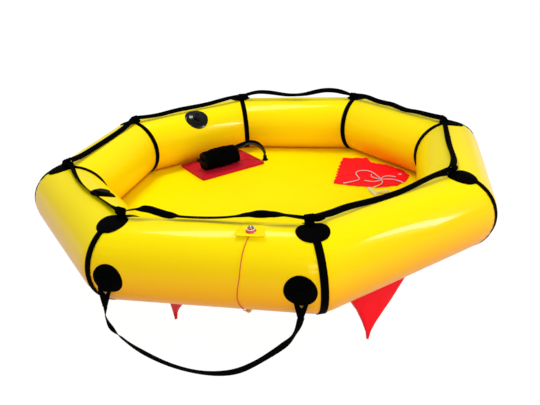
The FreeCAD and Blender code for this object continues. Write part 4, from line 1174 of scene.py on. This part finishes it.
def pump_wrap(place, slant, start):
    """One turn and a half of webbing round the barrel, slanted and crumpled."""
    gear_turn = side_turn(GEAR_SIDE).to_3x3()
    stations = []
    for step in range(WRAP_STEPS + 1):
        share = step / WRAP_STEPS
        angle = start + share * WRAP_TURNS * 2 * math.pi
        lift = WRAP_LAYER * (1 + share) + WRAP_SWELL * math.sin(math.pi * place / PUMP_LENGTH)
        lift += WRAP_CRUMPLE * noise.noise(Vector((angle * 0.7, place * 40, 3)))
        reach = PUMP_RADIUS + max(WRAP_LIFTS[0], min(lift, WRAP_LIFTS[1]))
        normal = Vector((0, math.cos(angle), math.sin(angle)))
        x = PUMP_START[0] + place + math.sin(angle) * math.tan(math.radians(slant)) * PUMP_RADIUS
        height = max(PUMP_HEIGHT + reach * normal.z, WRAP_LOWEST)
        middle = Vector((x, PUMP_START[1] + reach * normal.y, height))
        stations.append((gear_turn @ middle, gear_turn @ Vector((1, 0, 0)), gear_turn @ normal))
    return strip_mesh("pump_wrap", stations, WRAP_WIDTH, WRAP_THICKNESS)


for number, wrap in enumerate(WRAPS, 1):
    finish_piece(pump_wrap(*wrap), f"pump_wrap_{number}", black_webbing, "pump_plastic")
pump_black = plain_material("pump_black_plastic", (0.0010, 0.0010, 0.0012), 0.60, mottle=0.0, bump=0.15,
                            scale=90, specular=0.06)
dress(pump_black, "pump_barrel", "pump_plunger", "hose_adaptor")
tail_line = smooth_line(gear_route(TAIL_ROUTE))
tail = webbing_along("bundle_tail", tail_line, TAIL_ROLLS, Vector((0, 0, 1)), TAIL_WIDTH)
finish_piece(tail, tail.name, black_webbing, "black_webbing")

# Sea anchor. Red cloth folded flat, its edges uneven, with an eyelet near one corner, and an ivory
# plastic toggle on its cord.
CLOTH_OUTLINE = [
    (269, 563), (398, 572), (432, 497), (505, 472), (585, 402), (622, 330), (606, 255), (566, 200),
    (478, 170), (372, 180), (265, 203), (262, 390),
]
CLOTH_MIDDLE = Vector((0.415, 0.350, 0))
CLOTH_THICKNESS = 0.0013
CLOTH_BOTTOM = FLOOR_TOP + 0.0019
CLOTH_LAYER = 0.0020    # how much higher it is where it is folded over
CLOTH_RIDGE = 0.0012
CLOTH_RIM_SHARE = 0.05
HEM_TEETH = 26
HEM_DEPTHS = (0.010, 0.003)    # along its ragged side, and along the others
HEM_FRAY = 0.004
RAGGED_SIDE = (1.5, -2.6)    # in radians: from the first direction, across the back, to the second
FOLD_PLACE = 0.300    # the fold passes this point, measured both ways
FOLD_SLOPE = 0.35
EYELET_PLACE = Vector((0.575, 0.335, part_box("sea_anchor")[1].z - 0.0008))
EYELET_RADIUS = 0.0062
EYELET_SECTION = 0.0014


def outline_reach(direction):
    """How far the cloth reaches from its middle in a direction."""
    ray = Vector((math.cos(direction), math.sin(direction)))
    corners = [Vector((x / 1000 - CLOTH_MIDDLE.x, y / 1000 - CLOTH_MIDDLE.y)) for x, y in CLOTH_OUTLINE]
    reach = 0
    for first, second in zip(corners, corners[1:] + corners[:1]):
        edge = second - first
        cross = ray.x * edge.y - ray.y * edge.x
        if abs(cross) < 1e-9:
            continue
        distance = (first.x * edge.y - first.y * edge.x) / cross
        share = (first.x * ray.y - first.y * ray.x) / cross
        if distance > 0 and -1e-6 <= share <= 1 + 1e-6:
            reach = max(reach, distance)
    return reach


def folded_cloth():
    cloth = fine_disc(300, 56)
    for vertex in cloth.data.vertices:
        share = vertex.co.length
        direction = math.atan2(vertex.co.y, vertex.co.x)
        tooth = HEM_DEPTHS[0 if direction > RAGGED_SIDE[0] or direction < RAGGED_SIDE[1] else 1]
        tooth *= 0.5 + 0.5 * math.sin(direction * HEM_TEETH)
        reach = outline_reach(direction) - tooth * share ** 6
        reach -= HEM_FRAY * share ** 4 * abs(noise.noise(Vector((direction * 5, 0, 1))))
        spot = CLOTH_MIDDLE + Vector((math.cos(direction), math.sin(direction), 0)) * reach * share
        ridge = 1 - abs(noise.noise(Vector((spot.x * 13 + spot.y * 5, spot.y * 4, 0)))) * 2.4
        layer = CLOTH_LAYER if spot.y - FOLD_PLACE > (spot.x - FOLD_PLACE) * FOLD_SLOPE else 0.0
        rim = min(1, (1 - share) / CLOTH_RIM_SHARE)
        vertex.co = (spot.x, spot.y, CLOTH_BOTTOM + rim * (CLOTH_RIDGE * max(ridge, 0) + layer))
    return cloth


drogue = folded_cloth()
thickened(drogue, CLOTH_THICKNESS, -1 if drogue.data.polygons[0].normal.z > 0 else 1)
finish_piece(drogue, "drogue_cloth", red_cloth, "red_cloth", "sea_anchor")
eyelet = torus(EYELET_RADIUS, EYELET_SECTION, 48, 12)
eyelet.data.transform(Matrix.Translation(EYELET_PLACE))
finish_piece(eyelet, "drogue_eyelet", white_plastic, "white_cord")
dress(plain_material("ivory_plastic", (0.84, 0.74, 0.40), 0.40, mottle=0.1), "cord_toggle")

# Gas cylinder. A painted steel bottle in a bonded cloth cradle on the far outer side, with a brass head,
# its inlet into the tube, and the red firing lever.
cradle = soft_copy("cylinder_sleeve", "cylinder_cradle", longest=0.006, ruffle=0.0006, scale=50)
cradle_cloth = coated_cloth("black_cradle_cloth", (0.004, 0.004, 0.005), (0.008, 0.008, 0.009), 0.55)
finish_piece(cradle, cradle.name, cradle_cloth, "black_webbing", "cylinder_cradle")
dress(plain_material("cylinder_paint", (0.045, 0.055, 0.060), 0.36, coat=0.3, bump=0.12), "gas_cylinder")
dress(plain_material("head_brass", (0.60, 0.40, 0.16), 0.30, metallic=1.0), "cylinder_head")
dress(plain_material("lever_paint", (0.62, 0.020, 0.012), 0.34, coat=0.3), "firing_lever")
